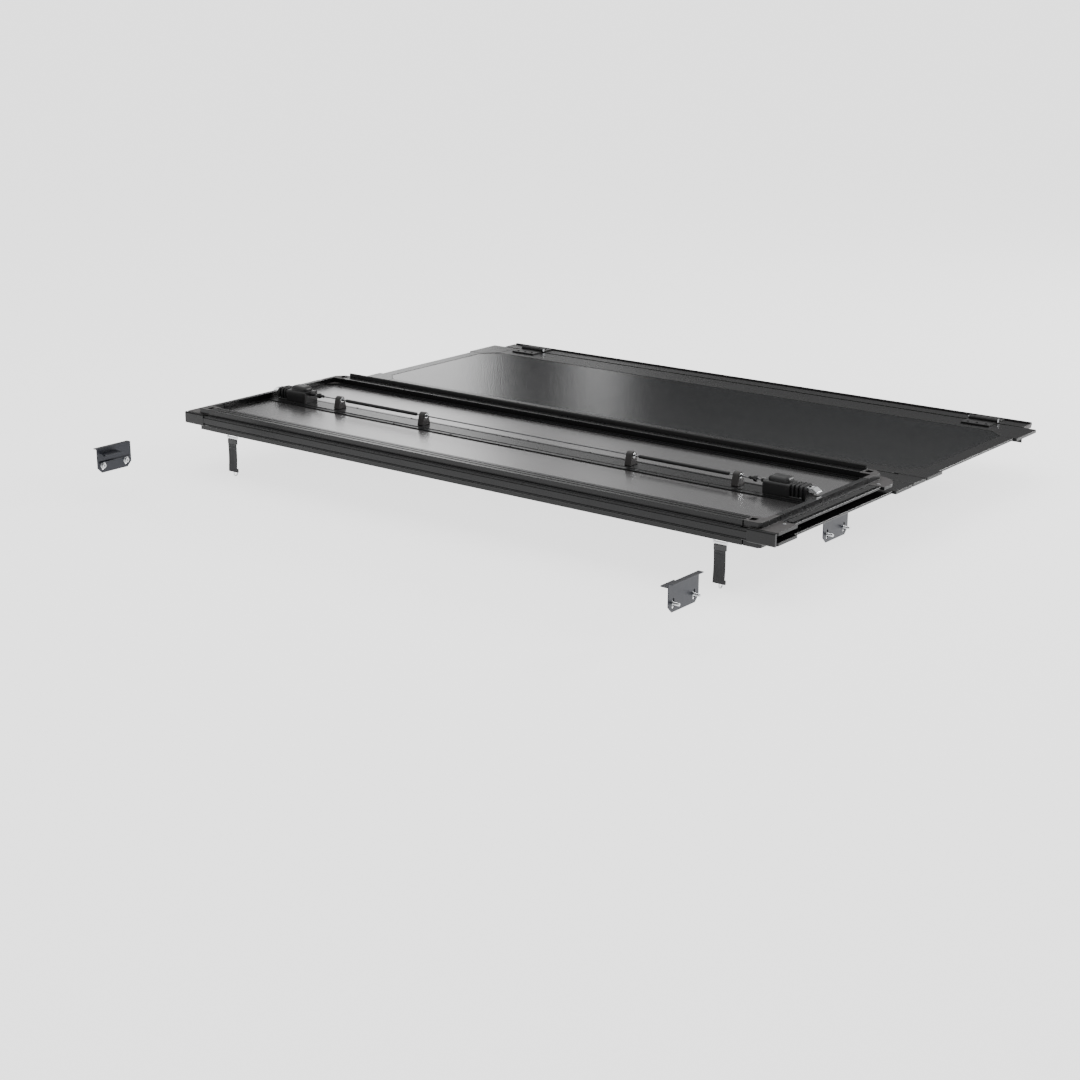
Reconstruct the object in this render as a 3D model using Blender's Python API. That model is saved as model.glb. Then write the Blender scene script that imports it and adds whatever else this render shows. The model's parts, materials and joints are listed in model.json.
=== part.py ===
"""Hard folding tonneau cover for a short pickup bed, its rear panel folded onto the middle one.

Frame: +X to the truck's right, +Y towards the cab, +Z up, metres. z = 0 is the plane of the bed
rails' tops, and the origin is the middle of the header rail's underside, which sits on that plane.
Every panel is drawn closed in its own frame: y = 0 at its cab side edge, z = 0 at its top.
"""
import math

import bmesh
import bpy
from mathutils import Euler
from mathutils import Vector

GAP = 0.0003
SIDES = (("left", -1), ("right", 1))

# Whole cover
HALF_WIDTH = 0.840
TOP_Z = 0.009
FRONT_LENGTH = 0.565
MIDDLE_LENGTH = 0.554
REAR_LENGTH = 0.500
FRONT_EDGE_Y = -0.026

# Panel frame sections
LIP = 0.006
DEPTH = 0.018
RIB_OUTER = 0.800
RIB_INNER = 0.787
FRAME_INNER = 0.797
LEDGE_INNER = 0.775
LEDGE = 0.012
LEDGE_THICK = 0.002
SKIN = 0.0025
SKIN_DROP = 0.0006
SKIN_SEAT = SKIN_DROP + SKIN + GAP
END_RAIL = 0.040
CAB_RAIL = 0.077
CAP_INNER = HALF_WIDTH - 0.080
CAP_STEP = 0.035
GROOVE = 0.0015
SQUARE_CORNER = 0.006
ROUND_CORNER = 0.050
CAP_PROUD = 0.0004
LIP_INSET = 0.008

# Folding hinges: a strip with a round bar along each edge, and a socket on each panel's end rail
PIVOT_DEPTH = 0.003
PIVOT_REACH = 0.0045
MID_SPAN = 0.053
FOLD_GAP = 0.015
REAR_SPAN = FOLD_GAP + 2 * PIVOT_DEPTH
BAR_RADIUS = 0.0020
SOCKET_RADIUS = 0.0023
JAW_RADIUS = 0.0034
WEB_HALF = 0.0008
STRIP_HALF = 0.815
JAW_TOP_DEG = 58
JAW_LOW_DEG = -140

# Lift hinges between the header and the front panel
LIFT_REACH = 0.0025
LIFT_RISE = 0.0065
KNUCKLE_RADIUS = 0.006
PIN_RADIUS = 0.0026
PIN_HOLE = 0.0030
LEAF = 0.0035
LIFT_HINGE_X = 0.700
LIFT_HINGE_WIDTH = 0.075
KNUCKLES = 5

# Header and clamps
HEADER_REAR = -0.020
HEADER_FRONT = 0.022
HEADER_HALF = 0.800
SEAT_START = -0.0080
SEAT_RELIEF = 0.0010
FLANGE = 0.003
FLANGE_DROP = 0.030
CLAMP_X = 0.600
CLAMP_HALF = 0.016
CLAMP_LEG = 0.008
CLAMP_DROP = 0.075
CLAMP_REACH = 0.030
CLAMP_JAW = 0.008
CLAMP_SCREW_Y = 0.012
CLAMP_SCREW_RADIUS = 0.004
PAD_Z = -0.036

# Latches, drawn for the right side in a panel's own frame
CROSS_HALF_WIDTH = 0.028
CROSS_DEEP = 0.003
CROSS_Z = -SKIN_SEAT
HOUSING_BASE_Z = CROSS_Z - CROSS_DEEP - GAP
HOUSING_LOW = -0.036
HOUSING_HALF = 0.022
HOUSING_INNER = 0.663
HOUSING_OUTER = 0.757
DOME_LOW = -0.0457
DOME_HALF = 0.017
DOME_INNER = 0.670
DOME_OUTER = 0.720
BOLT_Z = -0.0275
BOLT_HALF_Y = 0.010
BOLT_HALF_Z = 0.005
BOLT_TIP = 0.785
BOLT_TAIL = 0.715
BOLT_CHAMFER = 0.010
BOLT_CLEARANCE = 0.0004
CAVITY_END = 0.690
SPRING_RADIUS = 0.0042
SPRING_WIRE = 0.0006
SPRING_TURNS = 5
CABLE_Z = -0.028
CABLE_RADIUS = 0.0015
SLEEVE_RADIUS = 0.0042
CLIP_BORE = 0.0019
FERRULE_RADIUS = 0.0065
FERRULE_END = 0.630
CLIP_X = (-0.564, -0.290, 0.314, 0.589)
CLIP_HALF_X = 0.008
CLIP_HALF_Y = 0.014
CLIP_ROUND = 0.009
SLEEVE_INSET = 0.012
REAR_LATCH_Y = -0.250
MIDDLE_LATCH_Y = -0.277
FRONT_CROSS_Y = -0.300
CROSS_HALF_LENGTH = 0.7747
FRONT_CROSS_HALF_LENGTH = 0.750

# Strikers on the bed sides
STRIKER_FACE = 0.8005
STRIKER_THICK = 0.002
STRIKER_HALF = 0.050
STRIKER_LOW = -0.057
STRIKER_HOOK = 0.8125
TONGUE_Z = -0.0125
TONGUE_INNER = 0.776
TONGUE_HALF = 0.022
STRIKER_SHIFT = 0.016
STRIKER_BOLT_STEP = 0.034
STRIKER_BOLT_Z = -0.040

# Stowage straps under the middle panel's rear rail
STRAP_X = 0.700
STRAP_HALF = 0.014
STRAP_IN = 0.016
STRAP_TOP_Z = -0.0300
STRAP_END_Z = -0.1270
STRAP_THICK = 0.0016

# Prop rods stowed under the front panel's sides
ROD_X = 0.7625
ROD_PIVOT_Y = -0.180
ROD_Z = -0.0130
ROD_RADIUS = 0.004
ROD_LENGTH = 0.300
ROD_EYE = 0.007
ROD_EYE_HALF = 0.003
ROD_PIN = 0.0023
ROD_CLIP_Y = -0.440

MID_A = Vector((0, FRONT_EDGE_Y - FRONT_LENGTH - PIVOT_REACH, TOP_Z - PIVOT_DEPTH))
MID_B = MID_A - Vector((0, MID_SPAN, 0))
MIDDLE_EDGE_Y = MID_B.y - PIVOT_REACH
REAR_A = Vector((0, MIDDLE_EDGE_Y - MIDDLE_LENGTH - PIVOT_REACH, MID_A.z))
REAR_B = REAR_A + Vector((0, 0, REAR_SPAN))
LIFT_AXIS = Vector((0, FRONT_EDGE_Y + LIFT_REACH, TOP_Z + LIFT_RISE))
REAR_CLOSED_EDGE_Y = REAR_A.y - REAR_SPAN - PIVOT_REACH

PAINTS = {
    "skin": ((0.030, 0.031, 0.033), 0.42, 0.0),
    "frame": ((0.022, 0.023, 0.025), 0.35, 0.6),
    "plastic": ((0.025, 0.025, 0.026), 0.45, 0.0),
    "rubber": ((0.018, 0.018, 0.018), 0.80, 0.0),
    "zinc": ((0.720, 0.730, 0.740), 0.28, 1.0),
    "steel": ((0.060, 0.070, 0.085), 0.40, 0.7),
    "cable": ((0.050, 0.050, 0.052), 0.40, 0.3),
    "webbing": ((0.050, 0.051, 0.053), 0.85, 0.0),
}


def clear_scene():
    for item in list(bpy.data.objects):
        bpy.data.objects.remove(item, do_unlink=True)


def paint(name, kind):
    colour, roughness, metallic = PAINTS[kind]
    material = bpy.data.materials.new(name)
    material.use_nodes = True
    shader = material.node_tree.nodes["Principled BSDF"]
    shader.inputs["Base Color"].default_value = (*colour, 1.0)
    shader.inputs["Roughness"].default_value = roughness
    shader.inputs["Metallic"].default_value = metallic
    return material


def joint_empty(name, place, turn_x=0.0):
    empty = bpy.data.objects.new(name, None)
    bpy.context.collection.objects.link(empty)
    empty.location = place
    empty.rotation_euler = Euler((turn_x, 0, 0))
    return empty


def settle(item, name, kind, parent, offset):
    bpy.context.collection.objects.link(item)
    item.name = name
    item.data.materials.append(paint(name, kind))
    item.parent = parent
    item.location = offset
    return item


def make(name, kind, shape, parent=None, offset=(0, 0, 0)):
    """A named object from a bmesh of closed solids, drawn about its parent's origin plus offset."""
    bmesh.ops.recalc_face_normals(shape, faces=shape.faces)
    mesh = bpy.data.meshes.new(name)
    shape.to_mesh(mesh)
    shape.free()
    mesh.shade_smooth()
    mesh.set_sharp_from_angle(angle=math.radians(30))
    return settle(bpy.data.objects.new(name, mesh), name, kind, parent, offset)


def combine(item, shapes, operation):
    """Booleans on item, each with a hidden operand that rides along with it."""
    for number, shape in enumerate(shapes):
        operand_name = f"{item.name}_{operation.lower()}_{number}"
        operand = make(operand_name, "frame", shape, item.parent, item.location)
        operand.hide_render = True
        operand.display_type = "WIRE"
        modifier = item.modifiers.new(operand.name, "BOOLEAN")
        modifier.operation = operation
        modifier.solver = "EXACT"
        modifier.object = operand
    return item


def spot(axis, first, second, along):
    if axis == "X":
        return (along, first, second)
    if axis == "Y":
        return (first, along, second)
    return (first, second, along)


def add_prism(shape, axis, start, end, outline, holes=()):
    """A closed prism of an outline, with holes, from start to end along axis."""
    edges = []
    for loop in (outline, *holes):
        ring = [shape.verts.new(spot(axis, first, second, start)) for first, second in loop]
        edges += [shape.edges.new((ring[place - 1], ring[place])) for place in range(len(ring))]
    if holes:
        filled = bmesh.ops.triangle_fill(shape, use_beauty=True, edges=edges)
        faces = [item for item in filled["geom"] if isinstance(item, bmesh.types.BMFace)]
    else:
        faces = [shape.faces.new(ring)]
    grown = bmesh.ops.extrude_face_region(shape, geom=faces, use_keep_orig=True)
    moved = [item for item in grown["geom"] if isinstance(item, bmesh.types.BMVert)]
    bmesh.ops.translate(shape, verts=moved, vec=Vector(spot(axis, 0, 0, end - start)))


def prism(axis, start, end, outline, holes=()):
    shape = bmesh.new()
    add_prism(shape, axis, start, end, outline, holes)
    return shape


def rectangle(low_a, high_a, low_b, high_b):
    return [(low_a, low_b), (high_a, low_b), (high_a, high_b), (low_a, high_b)]


def arc(centre, radius, start_deg, end_deg, steps):
    points = []
    for step in range(steps + 1):
        angle = math.radians(start_deg + (end_deg - start_deg) * step / steps)
        points.append((centre[0] + radius * math.cos(angle), centre[1] + radius * math.sin(angle)))
    return points


def circle(centre, radius, steps):
    return arc(centre, radius, 0, 360, steps)[:-1]


def mirrored(outline):
    return [(-first, second) for first, second in outline]


def tube_along(name, kind, points, radius, rings, parent, offset=(0, 0, 0)):
    """A round bar through points, with flat ends."""
    curve = bpy.data.curves.new(name, "CURVE")
    curve.dimensions = "3D"
    curve.bevel_depth = radius
    curve.bevel_resolution = rings
    curve.use_fill_caps = True
    spline = curve.splines.new("POLY")
    spline.points.add(len(points) - 1)
    for place, point in zip(spline.points, points):
        place.co = (*point, 1.0)
    return settle(bpy.data.objects.new(name, curve), name, kind, parent, offset)


# ---- Panel frames ----

def side_rail_section():
    """Section (x, z) of a right side rail: a lip over the bed side, a rib, and a ledge for the skin."""
    outer = HALF_WIDTH - LIP_INSET
    points = [(outer, -0.001), (outer - 0.001, 0), (FRAME_INNER, 0), (FRAME_INNER, -SKIN_SEAT)]
    points += [(LEDGE_INNER, -SKIN_SEAT), (LEDGE_INNER, -SKIN_SEAT - LEDGE_THICK)]
    points += [(RIB_INNER, -SKIN_SEAT - LEDGE_THICK), (RIB_INNER, -DEPTH)]
    points += [(RIB_OUTER, -DEPTH), (RIB_OUTER, -LIP)]
    for groove_x in (0.806, 0.827):
        points += [(groove_x, -LIP), (groove_x, GROOVE - LIP)]
        points += [(groove_x + 0.003, GROOVE - LIP), (groove_x + 0.003, -LIP)]
    points.append((outer, -LIP))
    return points


def socket_points():
    """The hinge socket's outline (distance inwards from the panel's edge, z), from its top to its foot."""
    centre = (-PIVOT_REACH, -PIVOT_DEPTH)
    points = arc(centre, JAW_RADIUS, JAW_TOP_DEG, JAW_TOP_DEG, 1)[:1]
    points += arc(centre, SOCKET_RADIUS, JAW_TOP_DEG, JAW_LOW_DEG, 10)
    points += arc(centre, JAW_RADIUS, JAW_LOW_DEG, -60, 4)
    points.append((0, -PIVOT_DEPTH - 0.0040))
    return points


def end_rail_section(width, hinged):
    """Section (distance inwards from the edge, z) of an end rail: a box, a ledge for the skin, a socket."""
    points = [(0, 0)] + socket_points() if hinged else [(0.001, 0), (0, -0.001)]
    points.append((0, -DEPTH))
    for groove in (0.011, 0.023):
        points += [(groove, -DEPTH), (groove, GROOVE - DEPTH)]
        points += [(groove + 0.003, GROOVE - DEPTH), (groove + 0.003, -DEPTH)]
    points += [(END_RAIL - 0.003, -DEPTH), (END_RAIL - 0.003, -SKIN_SEAT - LEDGE_THICK)]
    points += [(width + LEDGE, -SKIN_SEAT - LEDGE_THICK), (width + LEDGE, -SKIN_SEAT)]
    points += [(width, -SKIN_SEAT), (width, 0)]
    return points


def cap_outline(width, radius):
    """Plan (x, distance inwards) of a right corner cap."""
    leg = width + CAP_STEP
    points = [(CAP_INNER, 0), (CAP_INNER, width), (FRAME_INNER, leg), (HALF_WIDTH, leg)]
    points += arc((HALF_WIDTH - radius, radius), radius, 0, -90, 6)
    return points


def cap_block(width, radius):
    """Plan (x, distance inwards) of the deep part under a right corner cap."""
    cut = 0.004 + 0.3 * radius
    points = [(CAP_INNER + 0.001, 0.002), (RIB_OUTER - cut, 0.002), (RIB_OUTER, 0.002 + cut)]
    points += [(RIB_OUTER, width + CAP_STEP - 0.001), (RIB_INNER, width + CAP_STEP - 0.001)]
    points += [(RIB_INNER, END_RAIL), (CAP_INNER + 0.001, END_RAIL)]
    return points


def placed_plan(plan, side, length, at_rear):
    """A right corner's plan moved to one corner of a panel."""
    return [(side * x, inwards - length if at_rear else -inwards) for x, inwards in plan]


def side_rail(name, side, length, ends, parent, offset):
    """A side rail with its two corner castings joined on, each slightly proud of it."""
    start = -ends[0][0] - CAP_STEP + 0.001
    end = ends[1][0] + CAP_STEP - 0.001 - length
    section = [(side * x, z) for x, z in side_rail_section()]
    rail = make(name, "frame", prism("Y", start, end, section), parent, offset)
    castings = []
    for at_rear, (width, radius) in zip((False, True), ends):
        plate = placed_plan(cap_outline(width, radius), side, length, at_rear)
        block = placed_plan(cap_block(width, radius), side, length, at_rear)
        castings.append(prism("Z", -LIP - CAP_PROUD, CAP_PROUD, plate))
        castings.append(prism("Z", -DEPTH - CAP_PROUD, 0.001 - LIP, block))
    return combine(rail, castings, "UNION")


def skin_plan(length, front_width, rear_width):
    half = FRAME_INNER - GAP
    inner = CAP_INNER - 2 * GAP
    front = -front_width - GAP
    rear = rear_width + GAP - length
    step = CAP_STEP + 2 * GAP
    right = [(inner, front), (half, front - step), (half, rear + step), (inner, rear)]
    return right + mirrored(right)[::-1]


def cross_section(centre_y):
    """Section (y, z) of the cross rail: a low hat with a foot along each side."""
    foot_z = CROSS_Z - 0.002
    land_z = CROSS_Z - CROSS_DEEP
    half = [(CROSS_HALF_WIDTH + 0.008, CROSS_Z), (CROSS_HALF_WIDTH + 0.008, foot_z)]
    half += [(CROSS_HALF_WIDTH, foot_z), (CROSS_HALF_WIDTH - 0.003, land_z)]
    outline = half + mirrored(half)[::-1]
    return [(centre_y + y, z) for y, z in outline]


def panel(prefix, length, front_end, rear_end, cross, parent, offset):
    """The six pieces of one panel.

    An end is (rail width, corner radius, hinged), and cross is the cross rail's (y, half length).
    """
    front_width, front_radius, front_hinged = front_end
    rear_width, rear_radius, rear_hinged = rear_end
    skin = prism("Z", -SKIN_DROP - SKIN, -SKIN_DROP, skin_plan(length, front_width, rear_width))
    make(f"{prefix}_skin", "skin", skin, parent, offset)

    rail_half = CAP_INNER - GAP
    front = [(-inwards, z) for inwards, z in end_rail_section(front_width, front_hinged)]
    make(f"{prefix}_cab_rail", "frame", prism("X", -rail_half, rail_half, front), parent, offset)
    rear = [(inwards - length, z) for inwards, z in end_rail_section(rear_width, rear_hinged)]
    make(f"{prefix}_rear_rail", "frame", prism("X", -rail_half, rail_half, rear), parent, offset)

    ends = ((front_width, front_radius), (rear_width, rear_radius))
    for word, side in SIDES:
        side_rail(f"{prefix}_{word}_rail", side, length, ends, parent, offset)

    cross_y, cross_half = cross
    cross_rail = prism("X", -cross_half, cross_half, cross_section(cross_y))
    return make(f"{prefix}_cross_rail", "frame", cross_rail, parent, offset)


def tailgate_seal(parent, offset):
    """The lip seal under the rear panel's tailgate rail."""
    blade = [(0.004, -DEPTH - GAP), (0.004, -DEPTH - 0.008), (0.007, -DEPTH - 0.010)]
    blade += [(0.010, -DEPTH - 0.008), (0.010, -DEPTH - GAP)]
    section = [(inwards - REAR_LENGTH, z) for inwards, z in blade]
    make("tailgate_seal", "rubber", prism("X", -CAP_INNER, CAP_INNER, section), parent, offset)


# ---- Folding hinge strips ----

def strip_section(span):
    """Section (y, z) of a hinge strip whose bars are at y = 0 and y = -span."""
    lean = math.degrees(math.asin(WEB_HALF / BAR_RADIUS))
    inner = -PIVOT_REACH
    outer = PIVOT_REACH - span
    points = arc((0, 0), BAR_RADIUS, 180 - lean, lean - 180, 12)
    points += [(inner, -WEB_HALF), (inner, -PIVOT_DEPTH), (outer, -PIVOT_DEPTH), (outer, -WEB_HALF)]
    points += arc((-span, 0), BAR_RADIUS, -lean, lean - 360, 12)
    points += [(outer, WEB_HALF), (outer, PIVOT_DEPTH), (inner, PIVOT_DEPTH), (inner, WEB_HALF)]
    return points


def hinge_strip(prefix, span, parent):
    make(f"{prefix}_hinge_strip", "frame", prism("X", -STRIP_HALF, STRIP_HALF, strip_section(span)), parent)


# ---- Header, lift hinges and clamps ----

def header_section():
    """Section (y, z) of the header: a seat relieved over the clamps, and a flange behind it."""
    points = [(HEADER_REAR, TOP_Z), (HEADER_REAR, -FLANGE_DROP), (HEADER_REAR + FLANGE, -FLANGE_DROP)]
    points += [(HEADER_REAR + FLANGE, SEAT_RELIEF), (SEAT_START, SEAT_RELIEF), (SEAT_START, 0)]
    points += [(HEADER_FRONT, 0), (HEADER_FRONT, 0.005)]
    points += [(HEADER_FRONT - 0.006, 0.005), (HEADER_FRONT - 0.006, TOP_Z)]
    return points


def header():
    make("header_rail", "frame", prism("X", -HEADER_HALF, HEADER_HALF, header_section()))
    bulb = arc((HEADER_FRONT + 0.006 + GAP, 0.006), 0.006, -90, 90, 8)
    bulb = [(HEADER_FRONT + GAP, 0), *bulb, (HEADER_FRONT + GAP, 0.012)]
    make("header_seal", "rubber", prism("X", -HEADER_HALF, HEADER_HALF, bulb))


def knuckle_section(leaf_side):
    """Section (y, z) about the pin of one knuckle and the tail that joins it to its leaf."""
    tail = leaf_side * (KNUCKLE_RADIUS + 0.003)
    low = GAP - LIFT_RISE
    turn = math.degrees(math.asin((low + LEAF) / -KNUCKLE_RADIUS))
    ring = arc((0, 0), KNUCKLE_RADIUS, -turn, 270, 16)
    section = ring + [(0, low), (abs(tail), low), (abs(tail), low + LEAF)]
    if leaf_side < 0:
        return mirrored(section)
    return section


def knuckle_spans(moving):
    """The x ranges of one hinge's knuckles on the fixed or the moving leaf."""
    pitch = LIFT_HINGE_WIDTH / KNUCKLES
    spans = []
    for place in range(1 if moving else 0, KNUCKLES, 2):
        start = place * pitch - LIFT_HINGE_WIDTH / 2
        spans.append((start + GAP, start + pitch - GAP))
    return spans


def hinge_leaf(name, centre, moving, reach, parent, offset):
    """One leaf of a lift hinge, drawn about the lift axis."""
    leaf_side = -1 if moving else 1
    edge = leaf_side * (KNUCKLE_RADIUS + GAP)
    low = GAP - LIFT_RISE
    half = LIFT_HINGE_WIDTH / 2 - GAP
    plate = rectangle(*sorted((edge, leaf_side * reach)), low, low + LEAF)
    leaf = make(name, "plastic", prism("X", centre - half, centre + half, plate), parent, offset)
    knuckles = []
    for start, end in knuckle_spans(moving):
        hole = circle((0, 0), PIN_HOLE, 16)
        knuckles.append(prism("X", centre + start, centre + end, knuckle_section(leaf_side), [hole]))
    return combine(leaf, knuckles, "UNION")


def lift_hinges(front_body):
    for word, side in SIDES:
        centre = side * LIFT_HINGE_X
        start = centre - LIFT_HINGE_WIDTH / 2
        hinge_leaf(f"hinge_fixed_leaf_{word}", centre, False, 0.040, None, LIFT_AXIS)
        hinge_leaf(f"hinge_moving_leaf_{word}", centre, True, 0.048, front_body, (0, 0, 0))
        pin = prism("X", start, start + LIFT_HINGE_WIDTH, circle((0, 0), PIN_RADIUS, 16))
        make(f"hinge_pin_{word}", "zinc", pin, None, LIFT_AXIS)


def clamp(word, centre):
    """A C clamp under the header: the header is its upper jaw, and a screw with a pad presses up."""
    leg_rear = HEADER_REAR + FLANGE + GAP
    leg_front = leg_rear + CLAMP_LEG
    jaw_top = CLAMP_JAW - CLAMP_DROP
    section = [(leg_rear, -GAP), (leg_rear, -CLAMP_DROP), (CLAMP_REACH, -CLAMP_DROP)]
    section += [(CLAMP_REACH, jaw_top), (leg_front, jaw_top), (leg_front, -GAP)]
    at = (centre, CLAMP_SCREW_Y)
    casting = prism("X", centre - CLAMP_HALF, centre + CLAMP_HALF, section)
    body = make(f"clamp_body_{word}", "steel", casting)
    bore = prism("Z", -CLAMP_DROP - 0.002, jaw_top + 0.002, circle(at, CLAMP_SCREW_RADIUS + GAP, 16))
    combine(body, [bore], "DIFFERENCE")
    head = prism("Z", -CLAMP_DROP - 0.018, -CLAMP_DROP - 0.010, circle(at, 0.0085, 6))
    shank = prism("Z", -CLAMP_DROP - 0.012, PAD_Z - 0.004, circle(at, CLAMP_SCREW_RADIUS, 16))
    pad = prism("Z", PAD_Z - 0.006, PAD_Z, circle(at, 0.011, 20))
    combine(make(f"clamp_screw_{word}", "zinc", shank), [head, pad], "UNION")


# ---- Latches ----

def housing_section(centre_y, half_y, base, low, radius):
    """Section (y, z) of a block on the cross rail with its two free edges rounded."""
    half = [(half_y, base)] + arc((half_y - radius, low + radius), radius, 0, -90, 5)
    outline = half + mirrored(half)[::-1]
    return [(centre_y + y, z) for y, z in outline]


def latch_housing(name, side, centre_y, parent, offset):
    """A low case for the bolt with a raised dome over its spring, open at the outer end."""
    ends = sorted((side * HOUSING_INNER, side * HOUSING_OUTER))
    section = housing_section(centre_y, HOUSING_HALF, HOUSING_BASE_Z, HOUSING_LOW, 0.006)
    housing = make(name, "plastic", prism("X", *ends, section), parent, offset)
    ends = sorted((side * DOME_INNER, side * DOME_OUTER))
    section = housing_section(centre_y, DOME_HALF, HOUSING_LOW + 0.001, DOME_LOW, 0.009)
    combine(housing, [prism("X", *ends, section)], "UNION")
    reach_y = BOLT_HALF_Y + BOLT_CLEARANCE
    reach_z = BOLT_HALF_Z + BOLT_CLEARANCE
    hole = rectangle(centre_y - reach_y, centre_y + reach_y, BOLT_Z - reach_z, BOLT_Z + reach_z)
    ends = sorted((side * CAVITY_END, side * (HOUSING_OUTER + 0.002)))
    return combine(housing, [prism("X", *ends, hole)], "DIFFERENCE")


def latch_bolt(name, side, centre_y, parent, offset):
    """A slam bolt with a long chamfer below its tip."""
    low = BOLT_Z - BOLT_HALF_Z
    high = BOLT_Z + BOLT_HALF_Z
    section = [(BOLT_TAIL, low), (BOLT_TAIL, high), (BOLT_TIP, high), (BOLT_TIP, high - 0.003)]
    section.append((BOLT_TIP - BOLT_CHAMFER, low))
    section = [(side * x, z) for x, z in section]
    bolt = prism("Y", centre_y - BOLT_HALF_Y, centre_y + BOLT_HALF_Y, section)
    make(name, "zinc", bolt, parent, offset)


def latch_spring(name, side, centre_y, parent, offset):
    start = CAVITY_END + 2 * SPRING_WIRE
    end = BOLT_TAIL - 2 * SPRING_WIRE
    steps = SPRING_TURNS * 10
    points = []
    for step in range(steps + 1):
        angle = 2 * math.pi * SPRING_TURNS * step / steps
        x = side * (start + (end - start) * step / steps)
        y = centre_y + SPRING_RADIUS * math.cos(angle)
        points.append((x, y, BOLT_Z + SPRING_RADIUS * math.sin(angle)))
    tube_along(name, "zinc", points, SPRING_WIRE, 1, parent, offset)


def latch_cable(name, centre_y, parent, offset):
    """The release cable between the two housings, with its end nuts and the sleeves between its clips."""
    line = (centre_y, CABLE_Z)
    reach = HOUSING_INNER - GAP
    cable = make(name, "cable", prism("X", -reach, reach, circle(line, CABLE_RADIUS, 10)), parent, offset)
    thick = []
    for side in (-1, 1):
        ends = sorted((side * FERRULE_END, side * (FERRULE_END + 0.010)))
        thick.append(prism("X", *ends, circle(line, FERRULE_RADIUS, 6)))
        ends = sorted((side * (FERRULE_END + 0.009), side * (HOUSING_INNER - GAP)))
        thick.append(prism("X", *ends, circle(line, 0.0045, 12)))
    for first, second in ((0, 1), (2, 3)):
        start = CLIP_X[first] + CLIP_HALF_X + SLEEVE_INSET
        end = CLIP_X[second] - CLIP_HALF_X - SLEEVE_INSET
        thick.append(prism("X", start, end, circle(line, SLEEVE_RADIUS, 12)))
    return combine(cable, thick, "UNION")


def clip_shapes(centre_y):
    """Four clips that hold the cable off the cross rail, rooted in the rail."""
    root_z = HOUSING_BASE_Z + 0.002
    low = CABLE_Z - SLEEVE_RADIUS - 0.0025
    section = [(CLIP_HALF_Y, root_z), (CLIP_HALF_Y, HOUSING_BASE_Z - 0.002)]
    section += arc((0, CABLE_Z), CLIP_ROUND, 20, -90, 4)
    section += [(-0.0060, low), (-CLIP_HALF_Y, HOUSING_BASE_Z - 0.002), (-CLIP_HALF_Y, root_z)]
    outline = [(centre_y + y, z) for y, z in section]
    hole = circle((centre_y, CABLE_Z), CLIP_BORE, 12)
    return [prism("X", centre - CLIP_HALF_X, centre + CLIP_HALF_X, outline, [hole]) for centre in CLIP_X]


def latches(prefix, centre_y, parent, offset):
    for word, side in SIDES:
        latch_housing(f"{prefix}_latch_housing_{word}", side, centre_y, parent, offset)
        latch_bolt(f"{prefix}_latch_bolt_{word}", side, centre_y, parent, offset)
        latch_spring(f"{prefix}_latch_spring_{word}", side, centre_y, parent, offset)
    latch_cable(f"{prefix}_latch_cable", centre_y, parent, offset)


# ---- Strikers ----

def striker_section():
    """Section (x, z) of a right striker: a hook over the bed rail, and a plate down the bed side."""
    back = STRIKER_FACE + STRIKER_THICK
    points = [(STRIKER_FACE, STRIKER_LOW), (back, STRIKER_LOW), (back, 0), (STRIKER_HOOK, 0)]
    points += [(STRIKER_HOOK, STRIKER_THICK), (STRIKER_FACE, STRIKER_THICK)]
    return points


def tongue_section():
    """Section (x, z) of the tongue that the bolt goes under."""
    top = TONGUE_Z + STRIKER_THICK
    back = STRIKER_FACE + 0.001
    points = [(TONGUE_INNER, TONGUE_Z), (back, TONGUE_Z), (back, top + 0.001)]
    return points + [(STRIKER_FACE - 0.004, top), (TONGUE_INNER, top)]


def striker(name, side, latch_y):
    """A bracket on one bed side, and the two bolts whose heads and shanks are joined to it."""
    centre_y = latch_y + STRIKER_SHIFT
    outline = [(side * x, z) for x, z in striker_section()]
    tongue = [(side * x, z) for x, z in tongue_section()]
    bracket = make(name, "steel", prism("Y", centre_y - STRIKER_HALF, centre_y + STRIKER_HALF, outline))
    joined = [prism("Y", latch_y - TONGUE_HALF, latch_y + TONGUE_HALF, tongue)]
    for bolt_y in (centre_y - STRIKER_BOLT_STEP, centre_y + STRIKER_BOLT_STEP):
        at = (bolt_y, STRIKER_BOLT_Z)
        ends = sorted((side * (STRIKER_FACE + 0.001), side * (STRIKER_FACE - 0.0055)))
        joined.append(prism("X", *ends, circle(at, 0.0065, 6)))
        ends = sorted((side * (STRIKER_FACE + 0.001), side * (STRIKER_FACE + 0.016)))
        joined.append(prism("X", *ends, circle(at, 0.0030, 12)))
    return combine(bracket, joined, "UNION")


def strikers():
    middle_y = MIDDLE_EDGE_Y + MIDDLE_LATCH_Y
    rear_y = REAR_CLOSED_EDGE_Y + REAR_LATCH_Y
    for word, side in SIDES:
        striker(f"middle_striker_{word}", side, middle_y)
        striker(f"rear_striker_{word}", side, rear_y)


# ---- Stowage straps and prop rods ----

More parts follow.
